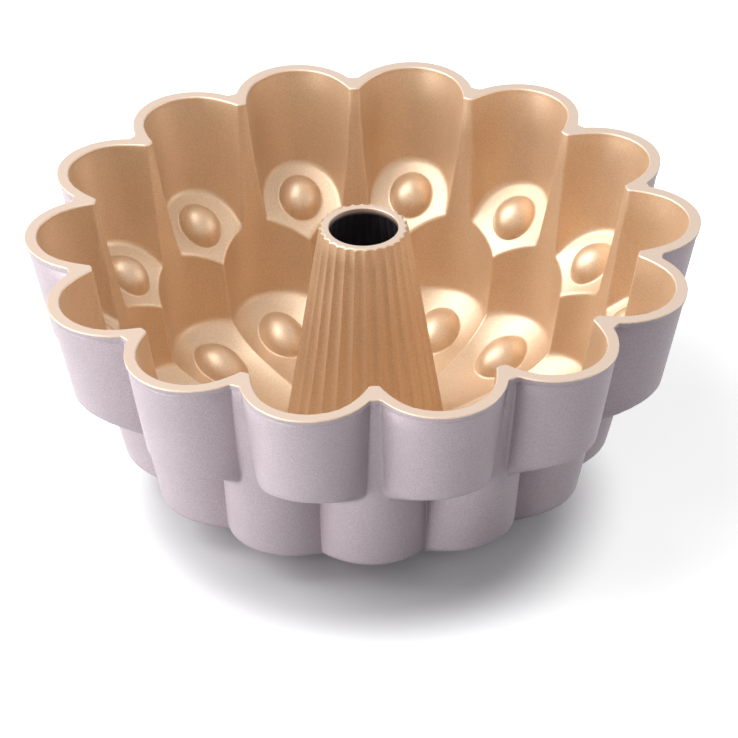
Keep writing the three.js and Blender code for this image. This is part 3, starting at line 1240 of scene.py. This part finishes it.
    def ledge(self, start: float) -> Array:
        """Guide of the ledge and its egg.

        Args:
            start: Depth of the upper wall's first row.

        Returns:
            Rings by border points of angle, distance and height.
        """
        outer = self.upper_wall(start)[-1, self.fine.web :]
        inner = self.ledge_lip()[self.fine.web :]
        loop = np.concatenate([outer[::-1], inner[1:]])
        return self.dome_and_apron(self.sizes.upper_egg, self.sizes.half, loop, self.ledge_ground)

    def ground(self, x: Array, w: Array) -> Array:
        """Height of a petal at this depth below the finish."""
        steep, level = self.fields.petal(x, w, self.level)
        return smooth_max(steep, level, self.fields.blend.petal_bend)

    def tube_rows(self) -> Array:
        """Profile of the tube from the floor to its top.

        A quarter of a circle stands on the floor, and a straight line leads from it to the top.

        Returns:
            Rows of distance and height.
        """
        s = self.sizes
        lean = math.atan(s.tube_taper)
        turn = np.linspace(0.0, 1.0, self.fine.foot_rows)
        angle = math.pi + lean + (math.pi / 2.0 - lean) * (1.0 - turn)
        level = float(self.fields.petal(np.array([self.floor_middle]), np.zeros(1), self.level)[1][0])
        foot_axis = s.tube_top_radius + s.tube_taper * (s.height - level - s.tube_foot) + s.tube_foot - self.level
        foot_height = level + s.tube_foot * (1.0 + np.sin(angle))
        foot = np.stack([foot_axis + s.tube_foot * np.cos(angle), foot_height], axis=-1)
        rise = np.linspace(0.0, 1.0, self.fine.tube_rows + 1)[1:, None]
        end = np.array([s.tube_top_radius - self.level, self.top - self.fields.blend.rim_edge])
        return np.concatenate([foot, foot[-1] + rise * (end - foot[-1])])

    def floor(self) -> Array:
        """Guide of a petal and its egg, out to the wall's foot, the ridge and the tube's foot.

        Returns:
            Rings by border points of angle, distance and height.
        """
        s = self.sizes
        foot = self.lower_wall()[-1]
        start = self.tube_rows()[0, 0]
        along = both_ends(self.fine.ridge_rows, self.fine.ridge_gather)[1:-1]
        reach = foot[-1, 1] + along * (start - foot[-1, 1])
        half = np.full_like(reach, s.half)
        ridge = np.stack([half, reach, self.ground(reach * np.cos(half), reach * np.sin(half))], axis=-1)
        angles = s.half * (1.0 - both_ends(self.fine.flute, self.fine.flute_gather))
        near = np.full_like(angles, start)
        hem = np.stack([angles, near, self.ground(near * np.cos(angles), near * np.sin(angles))], axis=-1)
        return self.dome_and_apron(s.lower_egg, 0.0, np.concatenate([foot, ridge, hem]), self.ground)

    def tube(self) -> Array:
        """Guide of the fluted tube: its profile at each column, with the first row on the floor.

        Returns:
            Rows by columns of angle, distance and height.
        """
        profile = self.tube_rows()
        angles = self.sizes.half * both_ends(self.fine.flute, self.fine.flute_gather)
        rows, columns = len(profile), len(angles)
        guide = np.empty((rows, columns, 3))
        guide[..., 0] = angles[None, :]
        guide[..., 1] = profile[:, 0][:, None]
        guide[..., 2] = profile[:, 1][:, None]
        guide[0, :, 2] = self.ground(guide[0, :, 1] * np.cos(angles), guide[0, :, 1] * np.sin(angles))
        return guide

    def edge(self, wall: Array, inward: Array, radius: float) -> tuple[Array, Array]:
        """Quarter-round edge from the top row of a wall over to a level top.

        At an angle t from 0 to 90 degrees a point lies radius (1 - cos t) into the metal and
        radius (1 - sin t) below the top.

        Args:
            wall: Points of the wall, one radius below the top.
            inward: Directions into the metal, of which only the level part counts.
            radius: Radius of the edge.

        Returns:
            Points and outward normals of the rows.
        """
        t = np.linspace(0.0, math.pi / 2.0, self.fine.edge_rows + 1)[:, None]
        plan = inward[:, :2] / (np.linalg.norm(inward[:, :2], axis=1, keepdims=True) + NOT_ZERO)
        x = wall[:, 1] * np.cos(wall[:, 0]) + radius * (1.0 - np.cos(t)) * plan[:, 0]
        y = wall[:, 1] * np.sin(wall[:, 0]) + radius * (1.0 - np.cos(t)) * plan[:, 1]
        z = np.broadcast_to(wall[:, 2] + radius * np.sin(t), x.shape)
        points = np.stack([np.arctan2(y, x), np.hypot(x, y), z], axis=-1)
        points[0] = wall
        level = np.cos(t)
        out = np.stack([-plan[:, 0] * level, -plan[:, 1] * level, np.broadcast_to(np.sin(t), x.shape)], axis=-1)
        return points, out

    def build(self, skin: Skin) -> tuple[Array, Array]:
        """Adds the inside to a skin.

        Args:
            skin: Skin that takes the patches.

        Returns:
            Points of the rim's inner edge and of the tube's edge, where the level tops start.
        """
        ray = self.ray
        start = self.level + self.fields.blend.rim_edge
        wall = ray.land(self.upper_wall(start))
        wall[0, :, 2] = self.sizes.height - start
        for points in (wall, ray.land(self.lower_wall()), ray.land(self.ledge(start)), ray.land(self.floor())):
            skin.add(points, -ray.normal(points))
        tube = ray.land(self.tube())
        tube[-1, :, 2] = self.sizes.height - start
        skin.add(tube, -ray.normal(tube))
        angles = tube[-1, :, 0]
        to_axis = -np.stack([np.cos(angles), np.sin(angles)], axis=-1)
        tops = []
        for row, inward in ((wall[0], ray.normal(wall[0])), (tube[-1], to_axis)):
            points, normals = self.edge(row, inward, self.fields.blend.rim_edge)
            points[:, [0, -1], 0] = row[[0, -1], 0]
            skin.add(points, normals, np.linspace(0.2, 1.0, len(points))[:, None])
            tops.append(points[-1])
        return tops[0], tops[1]


@dataclass(frozen=True)
class OutsideSurface(LobedSurface):
    """Outside of the mould from the outer edge of the rim to the standing ring."""

    ring_radius: float = 46.0  # ring inside the mould, from which the backs of its outer walls are seen
    ring_rise: float = 6.0

    @property
    def ray(self) -> Ray:
        """Rays from a ring inside the mould, which sees the back of all outer walls."""
        return Ray(self.fields.outside, -self.level, self.ring_radius, self.sizes.height + self.ring_rise)

    @property
    def guide(self) -> LobedGuide:
        """Sharp outside wall.

        Returns:
            The guide.
        """
        s = self.sizes
        return LobedGuide(
            s, s.upper_radius + s.wall - self.level, s.shell_axis, s.shell_radius - self.level, s.shell_taper,
            s.shell_lean, self.ledge_ground,
        )

    def ledge_ground(self, x: Array, w: Array) -> Array:
        """Height of a ledge's underside at this depth below the finish."""
        return self.fields.under_ledge(x, w, self.sizes.ledge_wall - self.level)

    def steep(self, x: Array, w: Array) -> Array:
        """Height of the underside below the steep part of a petal."""
        return self.fields.petal(x, w, self.sizes.floor_wall - self.level)[0]

    def upper_wall(self, start: float) -> Array:
        """Guide of the upper wall, with close rows over the rim's lip.

        Args:
            start: Depth of the first row.

        Returns:
            Rows by columns of angle, distance and height.
        """
        guide, blend = self.guide, self.fields.blend
        web, lobe = self.columns()
        lip = np.array([start, *(blend.lip_height + np.array([-0.25, -0.08, 0.08, 0.25, 0.45, 0.7, 1.2]))])
        rows = far_end(self.fine.wall_rows, self.fine.outer_gather)[1:]

        def depths(edge: Array) -> Array:
            """Depths of all rows, over the lip and then down to an edge."""
            fall = lip[-1] + rows[:, None] * (edge[None, :] - lip[-1])
            return np.concatenate([np.broadcast_to(lip[:, None], (len(lip), len(edge))), fall])

        corner = guide.corner
        depth = depths(np.broadcast_to(corner, web.shape))
        left = guide.lower_point(web[None, :] * guide.seam(depth), depth)
        depth = depths(guide.ledge_outer(guide.turn(corner) * (1.0 - lobe)))
        right = guide.upper_point(guide.turn(depth) * (1.0 - lobe[None, :]), depth)
        return np.concatenate([left, right[:, 1:]], axis=1)

    def lower_wall(self) -> Array:
        """Guide of the lower wall from the ledge's underside to the bottom edge.

        Returns:
            Rows by columns of angle, distance and height, with close rows at both ends.
        """
        middle = np.linspace(0.1, 0.86, self.fine.lower_rows)
        return self.wall_below(self.lip_depths(), self.steep, np.array([0.0, 0.03, *middle, 0.92, 0.96, 1.0]))

    def underside(self) -> Array:
        """Guide of the bowl from the bottom edge to the standing ring.

        Points lie on straight lines in plan from the bottom edge to the ring. Each is as high as the
        larger of the steep underside and a flat cone that rises from the ring.

        Returns:
            Rows by columns of angle, distance and height.
        """
        s = self.sizes
        foot = self.lower_wall()[-1]
        risen = 0.2  # share of a coat's thickness that the cone has risen by where the lacquer ends
        ring = s.stand_diameter / 2.0 + s.coat / s.stand_cone * risen
        share = np.concatenate([[0.0, 0.02, 0.06], np.linspace(0.12, 1.0, 9)])[:, None]
        r = foot[None, :, 1] + share * (ring - foot[:, 1])[None, :]
        angle = np.broadcast_to(foot[:, 0], r.shape)
        steep = self.steep(r * np.cos(angle), r * np.sin(angle))
        z = np.maximum(steep, (r - s.stand_diameter / 2.0) * s.stand_cone)
        grid = np.stack([angle, r, z], axis=-1)
        grid[0] = foot
        return grid

    def build(self, skin: Skin) -> tuple[Array, Array]:
        """Adds the outside to a skin.

        Args:
            skin: Skin that takes the patches.

        Returns:
            Points of the top row and of the bottom row.
        """
        ray = self.ray
        start = self.fields.blend.coat_border
        wall = ray.land(self.upper_wall(start))
        wall[0, :, 2] = self.sizes.height - start
        lower = ray.land(self.lower_wall())
        web = self.fine.web
        share = np.concatenate([[0.0, 0.04, 0.1], np.linspace(0.2, 0.9, 6), [0.97, 1.0]])[:, None, None]
        ledge = ray.land(self.upper_wall(start)[-1, web:] * (1.0 - share) + self.lower_wall()[0, web:] * share)
        under = ray.land(self.underside())
        for points in (wall, lower, ledge, under):
            skin.add(points, ray.normal(points))
        return wall[0], under[-1]


def level_top(skin: Skin, inner: Array, outer: Array, rows: int, mark: float) -> None:
    """Adds a level ring between two rows of points of equal height, straight from one to the other.

    Args:
        skin: Skin that takes the patch.
        inner: Points of one row as angle, distance and height.
        outer: Points of the other row.
        rows: Number of strips between them.
        mark: Value of the edge attribute.
    """
    share = np.linspace(0.0, 1.0, rows + 1)[:, None]
    ends = []
    for row in (inner, outer):
        ends.append(np.stack([row[:, 1] * np.cos(row[:, 0]), row[:, 1] * np.sin(row[:, 0])], axis=-1))
    x = ends[0][None, :, 0] * (1.0 - share) + ends[1][None, :, 0] * share
    y = ends[0][None, :, 1] * (1.0 - share) + ends[1][None, :, 1] * share
    points = np.stack([np.arctan2(y, x), np.hypot(x, y), np.broadcast_to(inner[:, 2], x.shape)], axis=-1)
    up = np.zeros_like(points)
    up[..., 2] = 1.0
    skin.add(points, up, mark)


def turned(skin: Skin, angles: Array, profile: Array, outward: Array, flute: Array | float = 0.0) -> Array:
    """Adds a surface turned round the mould's axis, fluted where asked.

    A flute takes f (1 - t^2) from the distance between two ridges at t from -1 to 1, so the distance
    changes by 4 f t / (half a pitch) with the angle, which tilts the normal sideways.

    Args:
        skin: Skin that takes the patch.
        angles: Angles of the columns.
        profile: Rows of distance and height.
        outward: Normal of each row as distance and height.
        flute: Depth of the flutes in each row.

    Returns:
        Points of the last row.
    """
    half = skin.sizes.half
    t = 2.0 * angles / half - 1.0
    deep = np.broadcast_to(np.asarray(flute, float), (len(profile),))[:, None]
    r = profile[:, 0][:, None] - deep * (1.0 - t * t)[None, :]
    z = np.broadcast_to(profile[:, 1][:, None], r.shape)
    points = np.stack([np.broadcast_to(angles, r.shape), r, z], axis=-1)
    cos, sin = np.cos(angles)[None, :], np.sin(angles)[None, :]
    lean = 4.0 * deep * t[None, :] / half / r
    side, up = outward[:, 0][:, None], outward[:, 1][:, None]
    normals = np.stack([side * (cos + lean * sin), side * (sin - lean * cos), np.broadcast_to(up, r.shape)], axis=-1)
    skin.add(points, normals / np.linalg.norm(normals, axis=-1, keepdims=True))
    return points[-1]


@dataclass(frozen=True)
class Wiring:
    """Node tree with a short way to add nodes and feed their inputs."""

    tree: bpy.types.NodeTree

    def feed(self, node: bpy.types.Node, inputs: dict[str | int, Feed]) -> None:
        """Links sockets to a node's inputs and sets the other inputs to values.

        Args:
            node: The node.
            inputs: A socket or a value for each input, by name or number.
        """
        for name, source in inputs.items():
            if isinstance(source, bpy.types.NodeSocket):
                self.tree.links.new(source, node.inputs[name])
            else:
                node.inputs[name].default_value = source

    def add(self, kind: str, inputs: dict[str | int, Feed], **settings: str) -> bpy.types.Node:
        """Adds a node.

        Args:
            kind: Type of the node.
            inputs: A socket or a value for each input, by name or number.
            settings: Choices that the node has besides its inputs, made before they are fed.

        Returns:
            The node.
        """
        node = self.tree.nodes.new(kind)
        for name, choice in settings.items():
            setattr(node, name, choice)
        self.feed(node, inputs)
        return node

    def noise(self, scale: float, detail: float, roughness: float = 0.5) -> bpy.types.NodeSocket:
        """Value of a noise that is fixed to the piece.

        Args:
            scale: Size of the noise, as cells in a metre.
            detail: Number of finer layers.
            roughness: Weight of the finer layers.

        Returns:
            Socket of the value.
        """
        place = self.add("ShaderNodeTexCoord", {}).outputs["Object"]
        inputs = {"Vector": place, "Scale": scale, "Detail": detail, "Roughness": roughness}
        return self.add("ShaderNodeTexNoise", inputs).outputs["Fac"]

    def ramp(self, value: bpy.types.NodeSocket, low: Stop, high: Stop) -> bpy.types.NodeSocket:
        """Colour that runs from one stop to another.

        Args:
            value: Socket of the value.
            low: Position and colour of the first stop.
            high: Position and colour of the last stop.

        Returns:
            Socket of the colour.
        """
        ramp = self.add("ShaderNodeValToRGB", {"Fac": value})
        for element, (position, color) in zip(ramp.color_ramp.elements, (low, high)):
            element.position = position
            element.color = (*color, 1.0)
        return ramp.outputs["Color"]

    def tint(self, share: bpy.types.NodeSocket, base: Feed, over: Feed) -> bpy.types.NodeSocket:
        """Colour mixed from two others: base (1 - share) + over share."""
        mix = self.add("ShaderNodeMix", {"Factor": share, "A": base, "B": over}, data_type="RGBA")
        return mix.outputs["Result"]

    def relief(self, height: bpy.types.NodeSocket, distance: float) -> bpy.types.NodeSocket:
        """Normal of a fine relief at half strength."""
        inputs = {"Strength": 0.5, "Distance": distance, "Height": height}
        return self.add("ShaderNodeBump", inputs).outputs["Normal"]


@dataclass(frozen=True)
class Finish:
    """Procedural finish of one piece."""

    name: str
    slot: Slot

    def material(self) -> bpy.types.Material:
        """New material, dressed by the finish.

        Returns:
            The material.
        """
        material = bpy.data.materials.new(self.name)
        material.use_nodes = True
        self.dress(Wiring(material.node_tree), material.node_tree.nodes["Principled BSDF"])
        return material

    def dress(self, wiring: Wiring, shader: bpy.types.Node) -> None:
        """Feeds the shader; a plain finish leaves it as it is."""


@dataclass(frozen=True)
class SpeckledCoat(Finish):
    """Metallic spray coat with fine flakes, slow patches and paler edges."""

    dark: Color
    light: Color
    edge: Color
    edge_share: float
    metallic: float
    roughness: tuple[float, float]
    grain: float = 2600.0
    patches: float = 38.0
    patch_share: float = 0.18
    bump: float = 0.00005
    coat: float = 0.0
    coat_roughness: float = 0.3
    coat_ior: float = 1.5

    def dress(self, wiring: Wiring, shader: bpy.types.Node) -> None:
        """Puts the flakes into colour, roughness and height.

        Args:
            wiring: Tree of the material.
            shader: Shader of the material.
        """
        flakes = wiring.noise(self.grain, 2.0, 0.6)
        clouds = wiring.noise(self.patches, 3.0)
        speckle = wiring.add(
            "ShaderNodeMath", {0: clouds, 1: self.patch_share, 2: flakes}, operation="MULTIPLY_ADD"
        ).outputs["Value"]
        color = wiring.ramp(speckle, (0.42, self.dark), (0.78, self.light))
        worn = wiring.add("ShaderNodeAttribute", {}, attribute_name="edge").outputs["Fac"]
        share = wiring.add("ShaderNodeMath", {0: worn, 1: self.edge_share}, operation="MULTIPLY").outputs["Value"]
        rough = wiring.add("ShaderNodeMapRange", {
            "Value": flakes, "From Min": 0.35, "From Max": 0.75,
            "To Min": self.roughness[0], "To Max": self.roughness[1],
        }).outputs["Result"]
        wiring.feed(shader, {
            "Base Color": wiring.tint(share, color, (*self.edge, 1.0)),
            "Roughness": rough,
            "Normal": wiring.relief(flakes, self.bump),
            "Metallic": self.metallic,
            "Coat Weight": self.coat,
            "Coat Roughness": self.coat_roughness,
            "Coat IOR": self.coat_ior,
        })


@dataclass(frozen=True)
class BareCasting(Finish):
    """Bare cast aluminium, dull and grey, with a little overspray in the mouth of the bore. Its colours are painted
    much darker than raw aluminium, as painted shade for the unlit bore and hollow of the tube.
    """

    # Painted shade: metal, stain and spray are far darker than bare aluminium and its gold overspray, standing for
    # the unlit inside of the tube.
    metal: Color = (0.17, 0.15, 0.16)
    stain: Color = (0.09, 0.08, 0.085)
    spray: Color = (0.2, 0.14, 0.12)
    spray_from: float = 0.1005
    spray_to: float = 0.1025
    bump: float = 0.00015

    def dress(self, wiring: Wiring, shader: bpy.types.Node) -> None:
        """Gives the casting its grain and stains, and a pinkish band where the spray reaches into the bore, all in
        dark colours that paint the shade inside the tube.

        Args:
            wiring: Tree of the material.
            shader: Shader of the material.
        """
        grain, stains = wiring.noise(900.0, 4.0), wiring.noise(45.0, 5.0)
        color = wiring.ramp(stains, (0.35, self.stain), (0.65, self.metal))
        place = wiring.add("ShaderNodeTexCoord", {}).outputs["Object"]
        height = wiring.add("ShaderNodeSeparateXYZ", {"Vector": place}).outputs["Z"]
        reach = wiring.add(
            "ShaderNodeMapRange", {"Value": height, "From Min": self.spray_from, "From Max": self.spray_to},
            interpolation_type="SMOOTHSTEP",
        ).outputs["Result"]
        wiring.feed(shader, {
            "Base Color": wiring.tint(reach, color, (*self.spray, 1.0)),
            "Normal": wiring.relief(grain, self.bump),
            "Metallic": 0.85,
            "Roughness": 0.55,
        })


@dataclass
class Mould:
    """The casting and its two coats as smooth closed pieces."""

    sizes: Proportions = field(default_factory=Proportions)
    blend: Rounding = field(default_factory=Rounding)
    fine: Fineness = field(default_factory=Fineness)
    hollow_edge: float = 0.6

    @property
    def fields(self) -> MouldFields:
        """Fields of the finished surfaces."""
        return MouldFields(self.sizes, self.blend)

    def outside(self, level: float) -> OutsideSurface:
        """Outside at a depth below the finish."""
        return OutsideSurface(self.sizes, self.fields, self.fine, level)

    def top_side(self, skin: Skin, level: float) -> Array:
        """Adds all that the gold coat covers: the inside, the rim's top and both its edges, and the tube's top.

        Args:
            skin: Skin that takes the patches.
            level: Depth below the finish.

        Returns:
            Last row of points, in the mouth of the bore.
        """
        s, k = self.sizes, self.blend
        inside = InsideSurface(s, self.fields, self.fine, level)
        rim, tube = inside.build(skin)
        ray = self.outside(level).ray
        row = ray.land(self.outside(level).upper_wall(k.coat_border)[:1])[0]
        row[:, 2] = s.height - k.coat_border
        wall = row.copy()
        wall[:, 2] = inside.top - k.rim_outer_edge
        points, normals = inside.edge(wall, -ray.normal(row), k.rim_outer_edge)
        points[:, [0, -1], 0] = row[[0, -1], 0]
        side_mark, top_mark = 0.4, 1.0
        skin.add(np.stack([row, wall]), normals[[0, 0]], side_mark)
        skin.add(points, normals, np.linspace(side_mark, top_mark, len(points))[:, None])
        level_top(skin, rim, points[-1], 2, top_mark)
        bore = tube.copy()
        bore[:, 1] = s.bore_radius + k.bore_edge
        level_top(skin, tube, bore, 2, top_mark)
        turn = np.linspace(0.0, math.pi / 2.0, 4)
        out = np.stack([-np.sin(turn), np.cos(turn)], axis=-1)
        middle = np.array([s.bore_radius + k.bore_edge, s.height - k.bore_edge])
        return turned(skin, bore[:, 0], middle + (k.bore_edge - level) * out, out)

    def film(self, name: str, front: Skin, back: Skin) -> bpy.types.Object:
        """Closed piece between a finished surface and the same surface a coat's thickness deeper.

        Args:
            name: Name of the piece.
            front: Finished surface.
            back: Deeper surface with the same patches.

        Returns:
            The piece.
        """
        points, below, normals, marks, faces = front.ring(back)
        whole, triangles, shade = closed_film(points, below, normals, faces)
        return mesh_piece(name, whole, triangles, shade, np.tile(marks, 2))

    def gold_coat(self) -> bpy.types.Object:
        """Non-stick coat over the inside, the tube and the top of the rim.

        Returns:
            The piece.
        """
        front, back = Skin(self.sizes), Skin(self.sizes)
        self.top_side(front, 0.0)
        self.top_side(back, self.sizes.coat)
        return self.film("inside_nonstick_coat", front, back)

    def mauve_coat(self) -> bpy.types.Object:
        """Lacquer over the outside, from under the rim's edge to the standing ring.

        Returns:
            The piece.
        """
        front, back = Skin(self.sizes), Skin(self.sizes)
        self.outside(0.0).build(front)
        self.outside(self.sizes.coat).build(back)
        return self.film("outside_lacquer_coat", front, back)

    def hollow(self, skin: Skin, mouth: Array) -> Array:
        """Adds the bore, its lip, the fluted hollow of the tube and the flat of the standing ring.

        Args:
            skin: Skin that takes the patches.
            mouth: Points of the bore's edge.

        Returns:
            Outer row of the flat ring.
        """
        s, edge = self.sizes, self.hollow_edge
        angles, roof = mouth[:, 0], s.height - s.bore_lip
        bore = s.bore_radius
        lip = np.array([[mouth[0, 1], mouth[0, 2]], [bore, mouth[0, 2]], [bore, roof + 0.5], [bore + 0.15, roof]])
        turned(skin, angles, lip[:2], np.array([[0.0, 1.0], [0.0, 1.0]]))
        turned(skin, angles, lip[1:], np.array([[-1.0, 0.0], [-1.0, 0.0], [-0.7, -0.7]]))
        rows = np.linspace(0.0, 1.0, self.fine.hollow_rows)[:, None]
        ends = s.tube_top_radius - s.hollow_wall + s.tube_taper * np.array([s.bore_lip + edge, s.height - edge])
        wall = np.array([ends[0] + s.hollow_flute, roof - edge]) * (1.0 - rows) + np.array([ends[1], edge]) * rows
        deep = s.hollow_flute * (1.0 + 0.6 * rows[:, 0]) * (1.0 - smooth_step(0.72, 0.96, rows[:, 0]))
        under_lip = np.stack([lip[-1], wall[0]])
        turned(skin, angles, under_lip, np.array([[-0.5, -0.86], [-0.9, -0.4]]), np.array([0.0, deep[0]]))
        turned(skin, angles, wall, np.tile([-0.988, -0.155], (len(wall), 1)), deep)
        foot = wall[-1, 0]
        turned(skin, angles, np.array([[foot, edge], [foot + edge, 0.0]]), np.array([[-0.9, -0.4], [-0.3, -0.95]]))
        flat = np.linspace(foot + edge, s.stand_diameter / 2.0 - edge, 4)
        down = np.tile([0.0, -1.0], (len(flat), 1))
        return turned(skin, angles, np.stack([flat, np.zeros_like(flat)], axis=-1), down)

    def casting(self) -> bpy.types.Object:
        """Bare casting under both coats, with the bore, the hollow of the tube and the standing ring.

        Returns:
            The piece.
        """
        skin = Skin(self.sizes)
        mouth = self.top_side(skin, self.sizes.coat)
        _, bottom = self.outside(self.sizes.coat).build(skin)
        skin.zip(self.hollow(skin, mouth), bottom, (0.0, 0.0, -1.0))
        points, _, normals, marks, faces = skin.ring(skin)
        return mesh_piece("bare_casting", points, faces, normals[faces].reshape(-1, 3), marks)

    def build(self) -> None:
        """Makes the three pieces, dresses them and hangs them on the frame."""
        gold = SpeckledCoat(
            "gold_nonstick_finish", Slot.GOLD, dark=(0.575, 0.394, 0.236), light=(0.795, 0.56, 0.355),
            edge=(0.655, 0.495, 0.385), edge_share=0.95, metallic=0.5, roughness=(0.42, 0.52),
            coat=0.9, coat_roughness=0.44, coat_ior=1.85,
        )
        mauve = SpeckledCoat(
            "mauve_lacquer_finish", Slot.MAUVE, dark=(0.4, 0.335, 0.362), light=(0.595, 0.513, 0.548),
            edge=(0.7, 0.62, 0.66), edge_share=0.0, metallic=0.2, roughness=(0.46, 0.6),
        )
        bare = BareCasting("bare_casting_finish", Slot.CASTING)
        for piece, node, finish in (
            (self.casting(), "cast_body", bare),
            (self.gold_coat(), "inner_coating", gold),
            (self.mauve_coat(), "outer_coating", mauve),
        ):
            piece.data.materials.append(finish.material())
            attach(piece, "root")
            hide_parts(node)
            LOG.info("%s: %d triangles", piece.name, len(piece.data.polygons))


@dataclass(frozen=True)
class SoftBox:
    """Studio lamp with a rectangular face."""

    name: str
    place: Place
    width: float
    height: float
    power: float
    aim_height: float = 0.05

    def build(self) -> None:
        """Hangs the lamp and points it at the mould."""
        lamp = bpy.data.lights.new(self.name, "AREA")
        lamp.energy = self.power
        lamp.shape = "RECTANGLE"
        lamp.size = self.width
        lamp.size_y = self.height
        holder = bpy.data.objects.new(self.name, lamp)
        holder.location = self.place
        aim = Vector((0.0, 0.0, self.aim_height)) - Vector(self.place)
        holder.rotation_euler = aim.to_track_quat("-Z", "Y").to_euler()
        bpy.context.scene.collection.objects.link(holder)


@dataclass(frozen=True)
class Camera:
    """Camera at the photograph's place, found from the rim's cusps."""

    azimuth: float = math.radians(-1.90)
    elevation: float = math.radians(34.79)
    roll: float = math.radians(0.473)
    distance: float = 1.2935
    lens: float = 159.62
    aim_height: float = 0.03845
    aim_right: float = 0.00164

    def build(self) -> None:
        """Places the camera on its line of sight, turned about it by the roll."""
        level = math.cos(self.elevation)
        forward = Vector(
            (-math.sin(self.azimuth) * level, math.cos(self.azimuth) * level, -math.sin(self.elevation))
        )
        right = Vector((math.cos(self.azimuth), math.sin(self.azimuth), 0.0))
        up = right.cross(forward)
        across = right * math.cos(self.roll) - up * math.sin(self.roll)
        upward = right * math.sin(self.roll) + up * math.cos(self.roll)
        place = Vector((0.0, 0.0, self.aim_height)) + right * self.aim_right - forward * self.distance
        data = bpy.data.cameras.new("camera")
        data.lens = self.lens
        data.sensor_width = 36.0
        data.clip_end = 20.0
        camera = bpy.data.objects.new("camera", data)
        camera.matrix_world = Matrix(
            (
                (across.x, upward.x, -forward.x, place.x),
                (across.y, upward.y, -forward.y, place.y),
                (across.z, upward.z, -forward.z, place.z),
                (0.0, 0.0, 0.0, 1.0),
            )
        )
        bpy.context.scene.collection.objects.link(camera)
        bpy.context.scene.camera = camera


@dataclass
class Studio:
    """White table, soft lamps and a white surround."""

    lamps: tuple[SoftBox, ...] = (
        SoftBox("key_left", (-0.86, 0.06, 1.05), 1.0, 1.7, 27.0),
        SoftBox("fill_front_left", (-1.0, -0.76, 0.12), 0.9, 0.14, 10.5),
        SoftBox("fill_right", (1.2, 0.0, 0.5), 0.9, 0.7, 4.4),
    )
    ambient: float = 0.18
    floor_size: float = 6.0
    floor_color: Color = (0.72, 0.724, 0.74)
    floor_bounce: float = 0.3
    floor_glow: float = 0.66
    # Painted shadow: centre and radii of the disc in which the floor's glow is left out, with none inside the core
    # and full glow past the end.
    painted_shadow_center: Place = (-0.004, -0.032, 0.0)
    painted_shadow_core: float = 0.07
    painted_shadow_end: float = 0.108

    @staticmethod
    def seen(wiring: Wiring) -> bpy.types.NodeSocket:
        """1 for rays from the camera, from gloss and through glass, 0 for others.

        Args:
            wiring: Tree of the material or the world.

        Returns:
            Socket of the value.
        """
        path = wiring.add("ShaderNodeLightPath", {}).outputs
        total = path["Is Camera Ray"]
        for name in ("Is Glossy Ray", "Is Transmission Ray"):
            total = wiring.add("ShaderNodeMath", {0: total, 1: path[name]}, operation="MAXIMUM").outputs["Value"]
        return total

    def floor_finish(self) -> bpy.types.Material:
        """White that glows away from the mould, which lifts it to white there. In a disc round a point just in front
        of the mould the glow is left out, which paints a dark contact shadow over the floor's real shading.

        Returns:
            The material.
        """
        material = bpy.data.materials.new("white_table")
        material.use_nodes = True
        wiring = Wiring(material.node_tree)
        seen = self.seen(wiring)
        dim = tuple(self.floor_bounce * part for part in self.floor_color)
        place = wiring.add("ShaderNodeTexCoord", {}).outputs["Object"]
        # Painted contact shadow: the glow is nothing near the centre and grows to full strength further out.
        away = wiring.add("ShaderNodeVectorMath", {0: place, 1: self.painted_shadow_center}, operation="DISTANCE")
        limits = {"From Min": self.painted_shadow_core, "From Max": self.painted_shadow_end, "To Max": self.floor_glow}
        reach = wiring.add(
            "ShaderNodeMapRange", {"Value": away.outputs["Value"], **limits}, interpolation_type="SMOOTHSTEP"
        ).outputs["Result"]
        glow = wiring.add("ShaderNodeMath", {0: reach, 1: seen}, operation="MULTIPLY").outputs["Value"]
        wiring.feed(material.node_tree.nodes["Principled BSDF"], {
            "Base Color": wiring.tint(seen, (*dim, 1.0), (*self.floor_color, 1.0)),
            "Roughness": 0.9,
            "Specular IOR Level": 0.1,
            "Emission Color": (1.0, 1.0, 1.0, 1.0),
            "Emission Strength": glow,
        })
        return material

    def floor(self) -> None:
        """Wide level table."""
        size = self.floor_size
        corners = [(-size, -size, 0.0), (size, -size, 0.0), (size, size, 0.0), (-size, size, 0.0)]
        mesh = bpy.data.meshes.new("table_top")
        mesh.from_pydata(corners, [], [(0, 1, 2, 3)])
        mesh.materials.append(self.floor_finish())
        table = bpy.data.objects.new("table_top", mesh)
        bpy.context.scene.collection.objects.link(table)

    def surround(self) -> None:
        """White world for the camera and for reflections, dimmer as light on the mould."""
        world = bpy.data.worlds.new("surround")
        world.use_nodes = True
        wiring = Wiring(world.node_tree)
        inputs = {"Value": self.seen(wiring), "To Min": self.ambient, "To Max": 1.0}
        level = wiring.add("ShaderNodeMapRange", inputs).outputs["Result"]
        background = world.node_tree.nodes["Background"]
        wiring.feed(background, {"Color": (1.0, 1.0, 1.0, 1.0), "Strength": level})
        bpy.context.scene.world = world

    def build(self) -> None:
        """Sets up table, surround and lamps."""
        self.floor()
        self.surround()
        for lamp in self.lamps:
            lamp.build()
        bpy.context.scene.view_settings.view_transform = "Standard"


def main() -> None:
    """Builds camera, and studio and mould."""
    logging.basicConfig(level=logging.INFO)
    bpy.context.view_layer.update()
    Camera().build()
    Studio().build()
    Mould().build()


if __name__ == "__main__":
    main()
